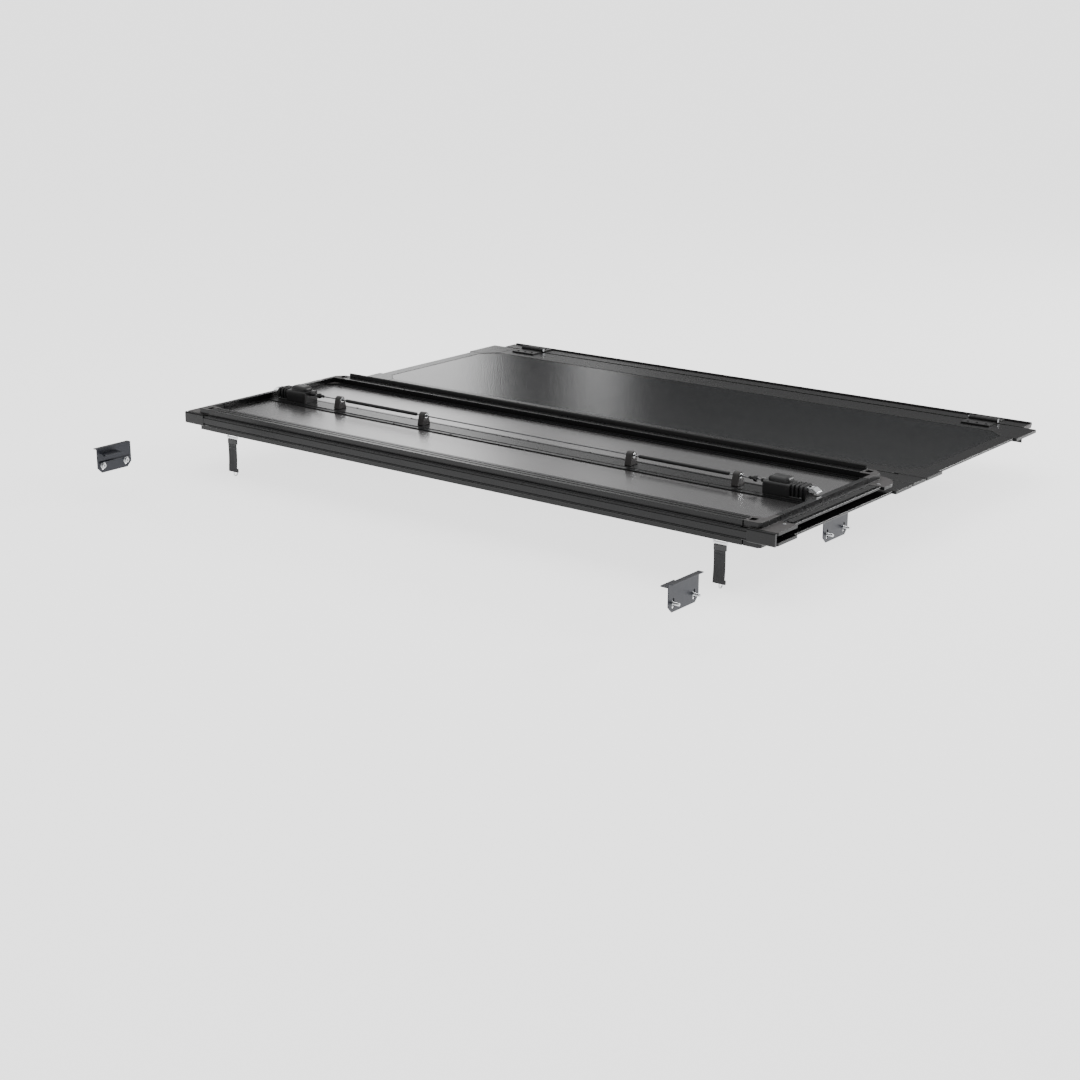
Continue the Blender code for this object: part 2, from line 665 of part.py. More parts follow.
def strap(word, side, parent, offset):
    """A hold down strap that hangs from a footman loop under the middle panel's rear rail."""
    centre_y = STRAP_IN - MIDDLE_LENGTH
    centre = side * STRAP_X
    plate = rectangle(centre - 0.019, centre + 0.019, -DEPTH - 0.0025, -DEPTH - GAP)
    plate = prism("Y", centre_y - 0.007, centre_y + 0.007, plate)
    loop = make(f"strap_loop_{word}", "zinc", plate, parent, offset)
    ring = rectangle(centre - 0.017, centre + 0.017, STRAP_TOP_Z + GAP, -DEPTH - 0.0015)
    slot = rectangle(centre - 0.0135, centre + 0.0135, STRAP_TOP_Z + 0.004, -DEPTH - 0.0045)
    combine(loop, [prism("Y", centre_y - 0.002, centre_y + 0.002, ring, [slot])], "UNION")
    web = rectangle(centre - STRAP_HALF, centre + STRAP_HALF, STRAP_END_Z, STRAP_TOP_Z)
    half = STRAP_THICK / 2
    make(f"strap_{word}", "webbing", prism("Y", centre_y - half, centre_y + half, web), parent, offset)


def prop_rod(name, parent):
    """A rod drawn about its pivot, stowed straight back towards the tailgate."""
    hole = circle((0, 0), ROD_PIN + 0.0004, 12)
    eye = prism("X", -ROD_EYE_HALF, ROD_EYE_HALF, circle((0, 0), ROD_EYE, 20), [hole])
    rod = make(name, "zinc", eye, parent)
    shank = prism("Y", -0.0045, -ROD_LENGTH, circle((0, 0), ROD_RADIUS, 12))
    tip = prism("Y", 0.016 - ROD_LENGTH, -ROD_LENGTH - 0.002, circle((0, 0), 0.0055, 12))
    return combine(rod, [shank, tip], "UNION")


def rod_mount(name, side, parent, offset):
    """Under the front panel: a strip with a rod's pivot plate and pin, and the clip for its far end."""
    top = -SKIN_SEAT - GAP
    centre = (side * ROD_X, ROD_Z)
    ends = sorted((side * (ROD_X - 0.0052), side * (ROD_X + 0.0065)))
    strip = rectangle(*ends, top - 0.0015, top)
    strip = prism("Y", ROD_CLIP_Y - 0.006, ROD_PIVOT_Y + 0.010, strip)
    mount = make(name, "plastic", strip, parent, offset)
    plate = rectangle(ROD_PIVOT_Y - 0.010, ROD_PIVOT_Y + 0.010, ROD_Z - 0.0065, top - 0.0005)
    ends = sorted((side * (ROD_X + 0.0045), side * (ROD_X + 0.0063)))
    joined = [prism("X", *ends, plate)]
    ends = sorted((side * (ROD_X - 0.0045), side * (ROD_X + 0.0055)))
    joined.append(prism("X", *ends, circle((ROD_PIVOT_Y, ROD_Z), ROD_PIN, 12)))
    section = arc(centre, 0.0046, -15, 195, 10) + arc(centre, 0.0060, 195, 150, 3)
    section += [(centre[0] - 0.0050, top - 0.0005), (centre[0] + 0.0050, top - 0.0005)]
    section += arc(centre, 0.0060, 30, -15, 3)
    joined.append(prism("Y", ROD_CLIP_Y - 0.0055, ROD_CLIP_Y + 0.0055, section))
    return combine(mount, joined, "UNION")


def build():
    clear_scene()
    front_body = joint_empty("lift_axis", LIFT_AXIS)
    mid_strip = joint_empty("mid_strip_axis", MID_A)
    middle_body = joint_empty("middle_panel_axis", MID_B)
    rear_strip = joint_empty("rear_strip_axis", REAR_A, -math.pi / 2)
    rear_body = joint_empty("rear_panel_axis", REAR_B, math.pi)

    square = (END_RAIL, SQUARE_CORNER, True)
    front_offset = Vector((0, FRONT_EDGE_Y, TOP_Z)) - LIFT_AXIS
    cab_end = (CAB_RAIL, SQUARE_CORNER, False)
    cross = (FRONT_CROSS_Y, FRONT_CROSS_HALF_LENGTH)
    panel("front", FRONT_LENGTH, cab_end, square, cross, front_body, front_offset)

    panel_offset = Vector((0, -PIVOT_REACH, PIVOT_DEPTH))
    cross = (MIDDLE_LATCH_Y, CROSS_HALF_LENGTH)
    middle_cross = panel("middle", MIDDLE_LENGTH, square, square, cross, middle_body, panel_offset)
    combine(middle_cross, clip_shapes(MIDDLE_LATCH_Y), "UNION")
    latches("middle", MIDDLE_LATCH_Y, middle_body, panel_offset)

    tailgate_end = (END_RAIL, ROUND_CORNER, False)
    cross = (REAR_LATCH_Y, CROSS_HALF_LENGTH)
    rear_cross = panel("rear", REAR_LENGTH, square, tailgate_end, cross, rear_body, panel_offset)
    combine(rear_cross, clip_shapes(REAR_LATCH_Y), "UNION")
    tailgate_seal(rear_body, panel_offset)
    latches("rear", REAR_LATCH_Y, rear_body, panel_offset)

    hinge_strip("mid", MID_SPAN, mid_strip)
    hinge_strip("rear", REAR_SPAN, rear_strip)

    header()
    lift_hinges(front_body)
    strikers()
    for word, side in SIDES:
        clamp(word, side * CLAMP_X)
        strap(word, side, middle_body, panel_offset)
        rod_mount(f"prop_rod_mount_{word}", side, front_body, front_offset)
        pivot = Vector((side * ROD_X, FRONT_EDGE_Y + ROD_PIVOT_Y, TOP_Z + ROD_Z))
        prop_rod(f"prop_rod_{word}", joint_empty(f"prop_rod_{word}_axis", pivot))


build()
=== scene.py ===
"""Looks of a hard folding tonneau cover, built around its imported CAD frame.

Row frame: +X to the truck's right, +Y towards the cab, +Z up, metres. A panel's own frame has
y = 0 at its cab side edge, z = 0 at its top and its underside below, as in the CAD. Paired parts
are drawn for the right side, and mirrored for the left.
"""

import json
import math
from collections import namedtuple

import bmesh
import bpy
from mathutils import Matrix
from mathutils import Vector

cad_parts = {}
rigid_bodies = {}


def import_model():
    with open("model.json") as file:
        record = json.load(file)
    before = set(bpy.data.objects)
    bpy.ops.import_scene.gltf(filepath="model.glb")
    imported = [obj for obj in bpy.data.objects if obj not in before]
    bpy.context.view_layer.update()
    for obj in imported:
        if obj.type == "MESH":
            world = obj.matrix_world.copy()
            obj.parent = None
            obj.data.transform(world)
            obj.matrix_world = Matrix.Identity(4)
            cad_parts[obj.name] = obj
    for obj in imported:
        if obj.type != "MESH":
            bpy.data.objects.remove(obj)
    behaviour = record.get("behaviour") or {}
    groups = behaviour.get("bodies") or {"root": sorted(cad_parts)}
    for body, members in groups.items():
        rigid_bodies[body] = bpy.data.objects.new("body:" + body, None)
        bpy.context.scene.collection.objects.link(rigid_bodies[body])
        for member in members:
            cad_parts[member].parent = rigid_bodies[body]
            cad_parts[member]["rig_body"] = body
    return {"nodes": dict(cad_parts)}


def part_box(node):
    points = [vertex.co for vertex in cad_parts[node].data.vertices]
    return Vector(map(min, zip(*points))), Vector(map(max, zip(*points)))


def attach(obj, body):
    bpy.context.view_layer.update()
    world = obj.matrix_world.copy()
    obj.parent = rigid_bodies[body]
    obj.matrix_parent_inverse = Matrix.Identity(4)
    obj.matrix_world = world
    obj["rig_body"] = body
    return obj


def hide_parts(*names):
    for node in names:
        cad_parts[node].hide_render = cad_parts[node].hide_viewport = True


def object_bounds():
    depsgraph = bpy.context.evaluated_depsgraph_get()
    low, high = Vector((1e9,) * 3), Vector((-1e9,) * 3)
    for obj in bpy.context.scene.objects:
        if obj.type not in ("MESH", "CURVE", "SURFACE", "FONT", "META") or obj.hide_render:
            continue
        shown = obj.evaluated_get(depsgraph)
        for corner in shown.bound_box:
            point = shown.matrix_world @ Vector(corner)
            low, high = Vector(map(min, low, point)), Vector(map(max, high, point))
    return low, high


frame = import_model()
CAD_LOW, CAD_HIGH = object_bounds()

SIDES = (("left", -1), ("right", 1))
GAP = 0.0003
# How far a joined part runs into its neighbour, and a cutter past the face it opens
OVERLAP = 0.001
CUT_PAST = 0.002
# A screw head's profile, as shares of its height and radius. Screws are (radius, height).
SCREW_RIM = ((0.0, 1.0), (0.7, 1.0), (0.93, 0.93), (1.0, 0.8))

# Panel frame
LIP = 0.006
DEPTH = 0.018
RIB_OUTER = 0.800
RIB_INNER = 0.787
FRAME_INNER = 0.797
LEDGE_INNER = 0.775
LEDGE_THICK = 0.002
SKIN = 0.0025
SKIN_DROP = 0.0006
SKIN_SEAT = SKIN_DROP + SKIN + GAP
END_RAIL = 0.040
CAB_RAIL = 0.077
LIP_INSET = 0.008
LIP_ROUND = 0.0026
LIP_GROOVES = (0.806, 0.827)
LIP_GROOVE_WIDTH = 0.003
LIP_GROOVE_DEEP = 0.0015
HALF_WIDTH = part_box("front_right_rail")[1].x

# End castings: plate, deep block, pocket and screw
CAP_INNER = HALF_WIDTH - 0.080
CAP_STEP = 0.035
CAP_PROUD = 0.0004
SQUARE_CORNER = 0.006
ROUND_CORNER = 0.050
BLOCK_INSET = 0.001
BLOCK_EDGE = 0.002
BLOCK_TRIM = 0.004
BLOCK_TRIM_SHARE = 0.3
POCKET_X = (0.006, 0.020)
POCKET_Y = (0.012, 0.028)
POCKET_DEEP = 0.004
CAP_SCREW = (0.0035, 0.0012)
CAP_SCREW_AT = (0.022, 0.014)

# Cross rails: section, groove and rivet as (offset, rise) and (drop, radius)
CROSS_HALF_WIDTH = 0.028
CROSS_DEEP = 0.003
CROSS_HALF_LENGTH = 0.7747
FRONT_CROSS_HALF_LENGTH = 0.750
CROSS_Z = -SKIN_SEAT
CROSS_FOOT = 0.008
CROSS_FOOT_THICK = 0.002
CROSS_SLOPE = 0.003
CROSS_GROOVE_Y = 0.0235
CROSS_GROOVE = ((0.0015, 0.0), (0.0010, 0.0010), (-0.0010, 0.0010), (-0.0015, 0.0))
RIVET = ((0.0019, 0.0024), (0.0026, 0.0022), (0.0031, 0.0012))
RIVET_COUNT = 9
RIVET_END = 0.06

# Folding hinges
BAR_RADIUS = 0.0020
STRIP_CAP = 0.0038
STRIP_CAP_INNER = 0.7745
STRIP_CAP_OUTER = HALF_WIDTH - 0.0008

# Latch housings: shell, dome, nose with ribs, foot, spout for the cable
HOUSING_BASE_Z = CROSS_Z - CROSS_DEEP - GAP
HOUSING_LOW = -0.036
HOUSING_HALF = 0.022
HOUSING_INNER = 0.663
HOUSING_OUTER = 0.757
SHELL_RISE = 0.0015
SHELL_ROUND = 0.005
DOME_BASE = -0.032
DOME_LOW = -0.0457
DOME_HALF = 0.017
DOME_INNER = 0.670
DOME_OUTER = 0.720
DOME_ROLL = 0.0085
DOME_CORNER = 0.002
DOME_STEPS = 6
NOSE_START = 0.7275
NOSE_END = 0.7630
NOSE_HALF = 0.0160
NOSE_LOW = -0.0335
NOSE_ROUND = 0.006
NOSE_RIBS = (0.0050, 0.0150, 0.0250)
NOSE_RIB_THICK = 0.0036
NOSE_RIB_HALF = 0.0205
NOSE_RIB_ROUND = 0.007
FOOT_THICK = 0.004
FOOT_ROUND = 0.0015
SPOUT_RISE = 0.0005
SPOUT_RADIUS = 0.0083
SPOUT_LENGTH = 0.010
HOUSING_SCREW = (0.0024, 0.0014)
HOUSING_SCREW_IN = 0.0040
HOUSING_SCREW_Y = 0.0195
HOUSING_SCREW_DROP = 0.0038

# Slam bolts
BOLT_Z = -0.0275
BOLT_HALF_Y = 0.010
BOLT_HALF_Z = 0.005
BOLT_TIP = 0.785
BOLT_TIP_FLAT = 0.003
BOLT_TAIL = 0.715
BOLT_TRAVEL = 0.012
BOLT_CHAMFER = 0.010
BOLT_CLEARANCE = 0.0004
BOLT_GROOVE = (0.759, 0.770)
BOLT_GROOVE_HALF = 0.0055
BOLT_GROOVE_DEEP = 0.0010
FORK_HALF = 0.0052
FORK_CLEARANCE = 0.0005
CAVITY_END = 0.690

# Release cables: threads are (radius, pitch, depth), the boot's points (along, radius)
CABLE_Z = -0.028
CABLE_RADIUS = 0.0015
CABLE_POINTS = 24
SLEEVE_RADIUS = 0.0042
SLEEVE_TAPER = ((0.0, 0.55), (0.002, 0.9), (0.004, 1.0))
SLEEVE_INSET = 0.012
FERRULE_END = 0.630
BARREL_OUT = 0.018
BARREL_THREAD = (0.0045, 0.0016, 0.0006)
NUT_LENGTH = 0.0075
NUT_RADIUS = 0.0068
BOOT = ((-0.014, 0.0022), (-0.010, 0.0038), (-0.006, 0.0026), (-0.002, 0.0042), (0.0005, 0.0042))
CLIP_X = (-0.564, -0.290, 0.314, 0.589)
CLIP_HALF_X = 0.008
CLIP_HALF_Y = 0.014
CLIP_FOOT = 0.002
CLIP_ROUND = 0.009
CLIP_SHOULDER = -18
CLIP_BORE = 0.0054
EYELET_PROUD = 0.0004
EYELET_WALL = 0.0015

# Header, lift hinges and clamps: the pin's head is (out, share of its radius), the pad (drop, radius)
HEADER_SEAT = 30
HEADER_TALL = 39
HEADER_CAP_THICK = 0.004
HEADER_SCREWS = 6
HEADER_SCREW_SPREAD = 1.10
HEADER_SCREW_IN = 0.003
HEADER_SCREW_DROP = 0.0041
HEADER_SCREW = (0.0024, 0.0016)
PIN_HEAD = ((0.0016, 0.9), (0.0012, 1.7), (0.0001, 1.7), (0.0, 1.0))
LEAF_THICK = 0.0035
LEAF_SCREW = (0.0036, 0.0014)
LEAF_SCREW_IN = 0.012
LEAF_SCREW_STEP = 0.024
CLAMP_HEAD_TALL = 0.008
CLAMP_HEAD_RADIUS = 0.0085
CLAMP_THREAD = (0.0040, 0.00125, 0.0005)
CLAMP_THREAD_LOW = 0.0075
CLAMP_THREAD_HIGH = 0.0055
CLAMP_PAD = ((0.006, 0.0080), (0.0045, 0.0110), (0.0008, 0.0110), (0.0, 0.0102))

# Strikers: sections (x, z) of the tongue, the crease and the gussets
STRIKER_FACE = 0.8005
STRIKER_THICK = 0.002
STRIKER_LOW = -0.057
STRIKER_TOP = 0.0015
STRIKER_TRIM = 0.012
STRIKER_HOOK = 0.8125
STRIKER_SHIFT = -0.016
STRIKER_BOLT_STEP = 0.034
STRIKER_BOLT_Z = -0.040
SLOT_HALF = 0.007
SLOT_RADIUS = 0.0035
TONGUE_Z = -0.0125
TONGUE_TOP = TONGUE_Z + STRIKER_THICK
TONGUE_INNER = 0.776
TONGUE_HALF = 0.022
TONGUE = (
    (TONGUE_INNER, TONGUE_Z), (STRIKER_FACE + 0.001, TONGUE_Z),
    (STRIKER_FACE + 0.001, TONGUE_TOP + 0.001), (STRIKER_FACE - 0.004, TONGUE_TOP),
    (TONGUE_INNER + 0.002, TONGUE_TOP), (TONGUE_INNER, TONGUE_TOP + 0.0008),
)
CREASE = (
    (STRIKER_FACE + 0.0005, -0.0280), (STRIKER_FACE - 0.0032, -0.0315), (STRIKER_FACE + 0.0005, -0.0350),
)
CREASE_END = 0.006
GUSSET = (
    (STRIKER_FACE + 0.0005, TONGUE_Z + 0.001), (STRIKER_FACE + 0.0005, TONGUE_Z - 0.008),
    (STRIKER_FACE - 0.0115, TONGUE_Z + 0.001),
)
GUSSETS_Y = (-0.014, 0.011)
GUSSET_THICK = 0.003
WASHER_RADIUS = 0.0078
WASHER_THICK = 0.0010
SHANK_TIP = ((0.016, 0.0026), (0.0155, 0.0030))
SHANK_LONG = 0.0150
SHANK_SHORT = 0.0006
SHANK_THREAD = (0.0030, 0.001, 0.0004)
STRIKER_SCREW = (0.0055, 0.0044)
SCREW_STANDOFF = 0.0011

# Side seals: section (across, drop) from the striker's hook outwards, under the lip
SEAL_CLEAR = 0.0008
SEAL_OVERRUN = 0.004
SEAL_SECTION = (
    (0.0, 0.0002), (0.0, 0.0016), (0.0020, 0.0026), (0.0040, 0.0012),
    (0.0080, 0.0012), (0.0100, 0.0026), (0.0120, 0.0016), (0.0120, 0.0002),
)

# Straps: webbing, stitches, wire hook, clasp and crimp
STRAP_WIDTH = 0.028
STRAP_FITTINGS = 0.016
STRAP_THICK = 0.0016
STRAP_DROP = 0.0015
STRAP_SWAY = 0.0016
STRAP_CUP = 0.0007
STRAP_ROWS = 28
STRAP_COLUMNS = 6
STITCH_DROPS = (0.0165, 0.0235)
STITCH_INSET = 0.002
STITCH_HALF_TALL = 0.0006
STITCH_HALF_DEEP = 0.0022
HOOK_RADIUS = 0.0055
HOOK_RISE = 0.0085
HOOK_TOP = 0.018
HOOK_WIRE = 0.0014
FITTING_PROUD = 0.0006
CLASP_Z = (0.0135, 0.0225)
CLASP_Y = (-0.0021, 0.0023)
CRIMP_LOW = 0.0135
CRIMP_HALF_DEEP = 0.0025

Panel = namedtuple("Panel", "name body place length cab_rail rear_corner latch_y")


# ---- Camera, floor and light ----

EYE = Vector((2.6703, -4.2710, 1.0967))
TARGET = Vector((0.0, -0.880, -0.220))
LENS = 64.0
FLOOR_REACH = 60.0
FLOOR_BELOW = 0.001
FLOOR_GLOW = 1.7

# The sky's brightness by the height of its direction, and two pale openings beyond the cab that the
# gloss shows: (centre, half width, blur) in degrees and brightness
SKYLINE = (0.256, 0.300)
SKY_LEVEL = 0.75
DIM_LEVEL = 0.03
BACKDROP_LEVEL = 3.0
OPENINGS = ((-42.6, 2.3, 0.8, 2.8), (-36.5, 0.4, 0.5, 1.3))
OPENING_TOP = 0.55

# Name, place, aim, size and watts
SOFTBOXES = (
    ("top_softbox", (-0.4, -0.9, 3.2), (0.0, -0.8, 0.0), (3.6, 3.0), 35.0),
    ("cab_softbox", (2.4, 3.1, 1.7), (0.6, -0.8, 0.0), (1.6, 0.8), 110.0),
    ("rear_softbox", (0.5, -5.0, 1.4), (0.0, -0.9, 0.0), (3.0, 1.2), 8.0),
)


def add_camera():
    data = bpy.data.cameras.new("camera")
    data.sensor_width = 36.0
    data.lens = LENS
    data.clip_end = 200.0
    camera = bpy.data.objects.new("camera", data)
    bpy.context.collection.objects.link(camera)
    camera.location = EYE
    camera.rotation_euler = (TARGET - EYE).to_track_quat("-Z", "Y").to_euler()
    bpy.context.scene.camera = camera


def add_floor():
    material, shader = new_material("floor_paper")
    set_inputs(material.node_tree, shader, {
        "Base Color": (0.80, 0.80, 0.80, 1.0),
        "Roughness": 0.9,
        "Specular IOR Level": 0.1,
        "Emission Color": (1.0, 1.0, 1.0, 1.0),
        "Emission Strength": FLOOR_GLOW,
    })
    shape = bmesh.new()
    bmesh.ops.create_grid(shape, x_segments=8, y_segments=8, size=FLOOR_REACH)
    bmesh.ops.translate(shape, verts=shape.verts, vec=(0, 0, CAD_LOW.z - FLOOR_BELOW))
    mesh = bpy.data.meshes.new("floor")
    shape.to_mesh(mesh)
    shape.free()
    floor = bpy.data.objects.new("floor", mesh)
    bpy.context.collection.objects.link(floor)
    mesh.materials.append(material)


def add_area_light(name, place, aim, size, watts):
    data = bpy.data.lights.new(name, "AREA")
    data.shape = "RECTANGLE"
    data.size, data.size_y = size
    data.energy = watts
    light = bpy.data.objects.new(name, data)
    bpy.context.collection.objects.link(light)
    light.location = place
    light.rotation_euler = (Vector(aim) - Vector(place)).to_track_quat("-Z", "Y").to_euler()


def add_world():
    """A white backdrop to the camera; to the gloss, a soft sky over a dim skyline with two pale openings."""
    world = bpy.data.worlds.new("studio")
    bpy.context.scene.world = world
    world.use_nodes = True
    tree = world.node_tree
    tree.nodes.clear()
    place = add_node(tree, "TexCoord", {})
    split = add_node(tree, "SeparateXYZ", {0: place.outputs["Generated"]})
    azimuth = math_node(tree, "ARCTAN2", split.outputs["X"], split.outputs["Y"])
    sky = smooth_range(tree, split.outputs["Z"], *SKYLINE)
    level = ranged(tree, sky, DIM_LEVEL, SKY_LEVEL)
    below = smooth_range(tree, split.outputs["Z"], 2.0 * OPENING_TOP, OPENING_TOP)
    for centre, half, blur, brightness in OPENINGS:
        turned = math_node(tree, "SUBTRACT", azimuth, math.radians(centre))
        off_centre = math_node(tree, "ABSOLUTE", turned)
        beside = smooth_range(tree, off_centre, math.radians(half + blur), math.radians(half))
        opening = math_node(tree, "MULTIPLY", beside, below)
        level = math_node(tree, "MAXIMUM", level, math_node(tree, "MULTIPLY", opening, brightness))
    seen = add_node(tree, "LightPath", {}).outputs["Is Camera Ray"]
    strength = math_node(tree, "MAXIMUM", level, math_node(tree, "MULTIPLY", seen, BACKDROP_LEVEL))
    background = add_node(tree, "Background", {"Color": (1.0, 1.0, 1.0, 1.0), "Strength": strength})
    add_node(tree, "OutputWorld", {"Surface": background.outputs[0]})


def add_studio():
    add_camera()
    add_floor()
    add_world()
    for softbox in SOFTBOXES:
        add_area_light(*softbox)


# ---- Materials ----

def new_material(name):
    material = bpy.data.materials.new(name)
    material.use_nodes = True
    return material, material.node_tree.nodes["Principled BSDF"]


def set_inputs(tree, node, values):
    """Sets each named input to its value, or links it where the value is another node's output."""
    for name, value in values.items():
        if isinstance(value, bpy.types.NodeSocket):
            tree.links.new(value, node.inputs[name])
        else:
            node.inputs[name].default_value = value


def add_node(tree, kind, values):
    node = tree.nodes.new(f"ShaderNode{kind}")
    set_inputs(tree, node, values)
    return node


def math_node(tree, operation, *values):
    node = add_node(tree, "Math", dict(enumerate(values)))
    node.operation = operation
    return node.outputs[0]


def smooth_range(tree, value, low, high):
    node = add_node(tree, "MapRange", {"Value": value, "From Min": low, "From Max": high})
    node.interpolation_type = "SMOOTHSTEP"
    return node.outputs["Result"]


def ranged(tree, value, low, high):
    """A 0 to 1 value spread from low to high."""
    return add_node(tree, "MapRange", {"Value": value, "To Min": low, "To Max": high}).outputs["Result"]


def noise(tree, scale, detail=2.0, stretch=(1.0, 1.0, 1.0)):
    place = add_node(tree, "TexCoord", {}).outputs["Object"]
    mapping = add_node(tree, "Mapping", {"Vector": place, "Scale": stretch})
    values = {"Vector": mapping.outputs[0], "Scale": scale, "Detail": detail}
    return add_node(tree, "TexNoise", values).outputs["Fac"]


def pebbles(tree, scale):
    """Rounded grains, from 0 between them to 1 on top."""
    place = add_node(tree, "TexCoord", {}).outputs["Object"]
    node = tree.nodes.new("ShaderNodeTexVoronoi")
    node.feature = "SMOOTH_F1"
    set_inputs(tree, node, {"Vector": place, "Scale": scale, "Smoothness": 0.35})
    return math_node(tree, "SUBTRACT", 1.0, node.outputs["Distance"])


def bump(tree, shader, height, strength, distance, under=None):
    values = {"Height": height, "Strength": strength, "Distance": distance}
    if under is not None:
        values["Normal"] = under
    normal = add_node(tree, "Bump", values).outputs["Normal"]
    tree.links.new(normal, shader.inputs["Normal"])
    return normal


def tint(tree, shader, value, dark, light):
    node = tree.nodes.new("ShaderNodeMix")
    node.data_type = "RGBA"
    set_inputs(tree, node, {"Factor": value, "A": (*dark, 1.0), "B": (*light, 1.0)})
    tree.links.new(node.outputs["Result"], shader.inputs["Base Color"])


def grained(name, dark, light, roughness, metallic=0.0, grain=1500.0, depth=0.00004, stretch=(1, 1, 1),
            specular=0.5):
    """A finish with cloudy colour and gloss and a fine grain: coatings, castings, plastics, plated steel."""
    material, shader = new_material(name)
    tree = material.node_tree
    tint(tree, shader, noise(tree, 9.0, 4.0), dark, light)
    gloss = ranged(tree, noise(tree, 60.0, 3.0), *roughness)
    set_inputs(tree, shader, {"Roughness": gloss, "Metallic": metallic, "Specular IOR Level": specular})
    bump(tree, shader, noise(tree, grain, 2.0, stretch), 0.6, depth)
    return material


def pebble_coating():
    """The skin's textured coating: rounded grains over the faint waves of a bonded sheet."""
    material, shader = new_material("pebble_coating")
    tree = material.node_tree
    grains = pebbles(tree, 260.0)
    tint(tree, shader, noise(tree, 5.0, 3.0), (0.010, 0.011, 0.012), (0.016, 0.017, 0.018))
    gloss = ranged(tree, noise(tree, 240.0, 2.0), 0.12, 0.19)
    set_inputs(tree, shader, {"Roughness": gloss, "Specular IOR Level": 0.20})
    waves = bump(tree, shader, noise(tree, 7.0, 1.0), 0.15, 0.0008)
    bump(tree, shader, grains, 0.40, 0.00032, waves)
    return material


def satin_sheet():
    """The skin's smooth painted underside, with the faint waves of a bonded sheet."""
    material, shader = new_material("satin_sheet")
    tree = material.node_tree
    tint(tree, shader, noise(tree, 3.0, 3.0), (0.255, 0.252, 0.254), (0.29, 0.286, 0.288))
    gloss = ranged(tree, noise(tree, 90.0, 3.0), 0.23, 0.27)
    set_inputs(tree, shader, {"Roughness": gloss, "Metallic": 0.92})
    waves = bump(tree, shader, noise(tree, 5.0, 1.0), 0.1, 0.0004)
    bump(tree, shader, noise(tree, 1400.0, 2.0), 0.15, 0.00001, waves)
    return material


def woven_webbing():
    material, shader = new_material("woven_webbing")
    tree = material.node_tree
    place = add_node(tree, "TexCoord", {}).outputs["Object"]
    heights = []
    for axis, scale in (("X", 330.0), ("Z", 250.0)):
        wave = add_node(tree, "TexWave", {"Vector": place, "Scale": scale, "Distortion": 0.4})
        wave.bands_direction = axis
        heights.append(wave.outputs["Fac"])
    weave = math_node(tree, "MULTIPLY", *heights)
    tint(tree, shader, weave, (0.008, 0.008, 0.009), (0.015, 0.015, 0.017))
    set_inputs(tree, shader, {"Roughness": 0.82, "Sheen Weight": 0.1})
    bump(tree, shader, weave, 0.6, 0.0002)
    return material


def make_materials():
    """Finish name to (material, the record's slot)."""
    black = ((0.0045, 0.0045, 0.005), (0.0075, 0.0075, 0.008))
    warm = ((0.050, 0.046, 0.046), (0.066, 0.061, 0.061))
    grey = ((0.030, 0.028, 0.027), (0.044, 0.041, 0.040))
    nylon = ((0.008, 0.008, 0.008), (0.013, 0.013, 0.014))
    cast = ((0.016, 0.016, 0.017), (0.025, 0.025, 0.026))
    blue = ((0.008, 0.009, 0.014), (0.014, 0.016, 0.024))
    bright = ((0.66, 0.67, 0.68), (0.78, 0.79, 0.80))
    plated = ((0.48, 0.49, 0.50), (0.62, 0.63, 0.64))
    bar = ((0.42, 0.43, 0.44), (0.55, 0.56, 0.57))
    steel = ((0.16, 0.16, 0.165), (0.24, 0.24, 0.245))
    rubber = ((0.010, 0.010, 0.010), (0.016, 0.016, 0.016))
    brushed_x = dict(metallic=1.0, grain=300.0, depth=0.00003, stretch=(0.15, 1.0, 1.0))
    brushed_y = dict(metallic=1.0, grain=400.0, depth=0.00003, stretch=(1.0, 0.1, 1.0))
    satin = dict(grain=1100.0, depth=0.00001, specular=0.24)
    coarse = dict(metallic=0.2, grain=500.0, depth=0.0001)
    made = {
        "pebble": (pebble_coating(), "panel_skin"),
        "sheet": (satin_sheet(), "panel_skin"),
        "webbing": (woven_webbing(), "strap_webbing"),
    }
    for finish, slot, name, colours, roughness, rest in (
        ("frame", "frame_black", "satin_frame", black, (0.25, 0.31), satin),
        ("casting", "frame_black", "matt_casting", warm, (0.52, 0.62), {}),
        ("moulded", "latch_plastic", "moulded_nylon", nylon, (0.34, 0.48), dict(grain=900.0)),
        ("clip", "latch_plastic", "warm_grey_nylon", grey, (0.36, 0.48), dict(grain=900.0)),
        ("hinge", "hinge_black", "hinge_coat", nylon, (0.40, 0.52), dict(grain=1000.0)),
        ("clamp", "clamp_black", "cast_coat", cast, (0.42, 0.58), coarse),
        ("striker", "striker_steel", "blue_black_steel", blue, (0.30, 0.42), dict(metallic=0.3)),
        ("bolt", "bolt_zinc", "bright_zinc", bright, (0.16, 0.28), brushed_x),
        ("zinc", "fastener_zinc", "plated_steel", plated, (0.24, 0.38), dict(metallic=1.0, grain=700.0)),
        ("rod", "rod_steel", "plated_bar", bar, (0.26, 0.40), brushed_y),
        ("cable", "cable_sheath", "nylon_sheath", nylon, (0.30, 0.42), {}),
        ("wire", "cable_sheath", "coated_wire", steel, (0.28, 0.36), dict(metallic=0.9, grain=900.0)),
        ("rubber", "seal_rubber", "epdm_rubber", rubber, (0.66, 0.80), dict(grain=1300.0, depth=0.00006)),
    ):
        made[finish] = (grained(name, *colours, roughness, **rest), slot)
    return made


# ---- Outlines ----

def rectangle(low_a, high_a, low_b, high_b):
    return [(low_a, low_b), (high_a, low_b), (high_a, high_b), (low_a, high_b)]


def arc(centre, radius, start_deg, end_deg, steps):
    points = []
    for step in range(steps + 1):
        angle = math.radians(start_deg + (end_deg - start_deg) * step / steps)
        points.append((centre[0] + radius * math.cos(angle), centre[1] + radius * math.sin(angle)))
    return points


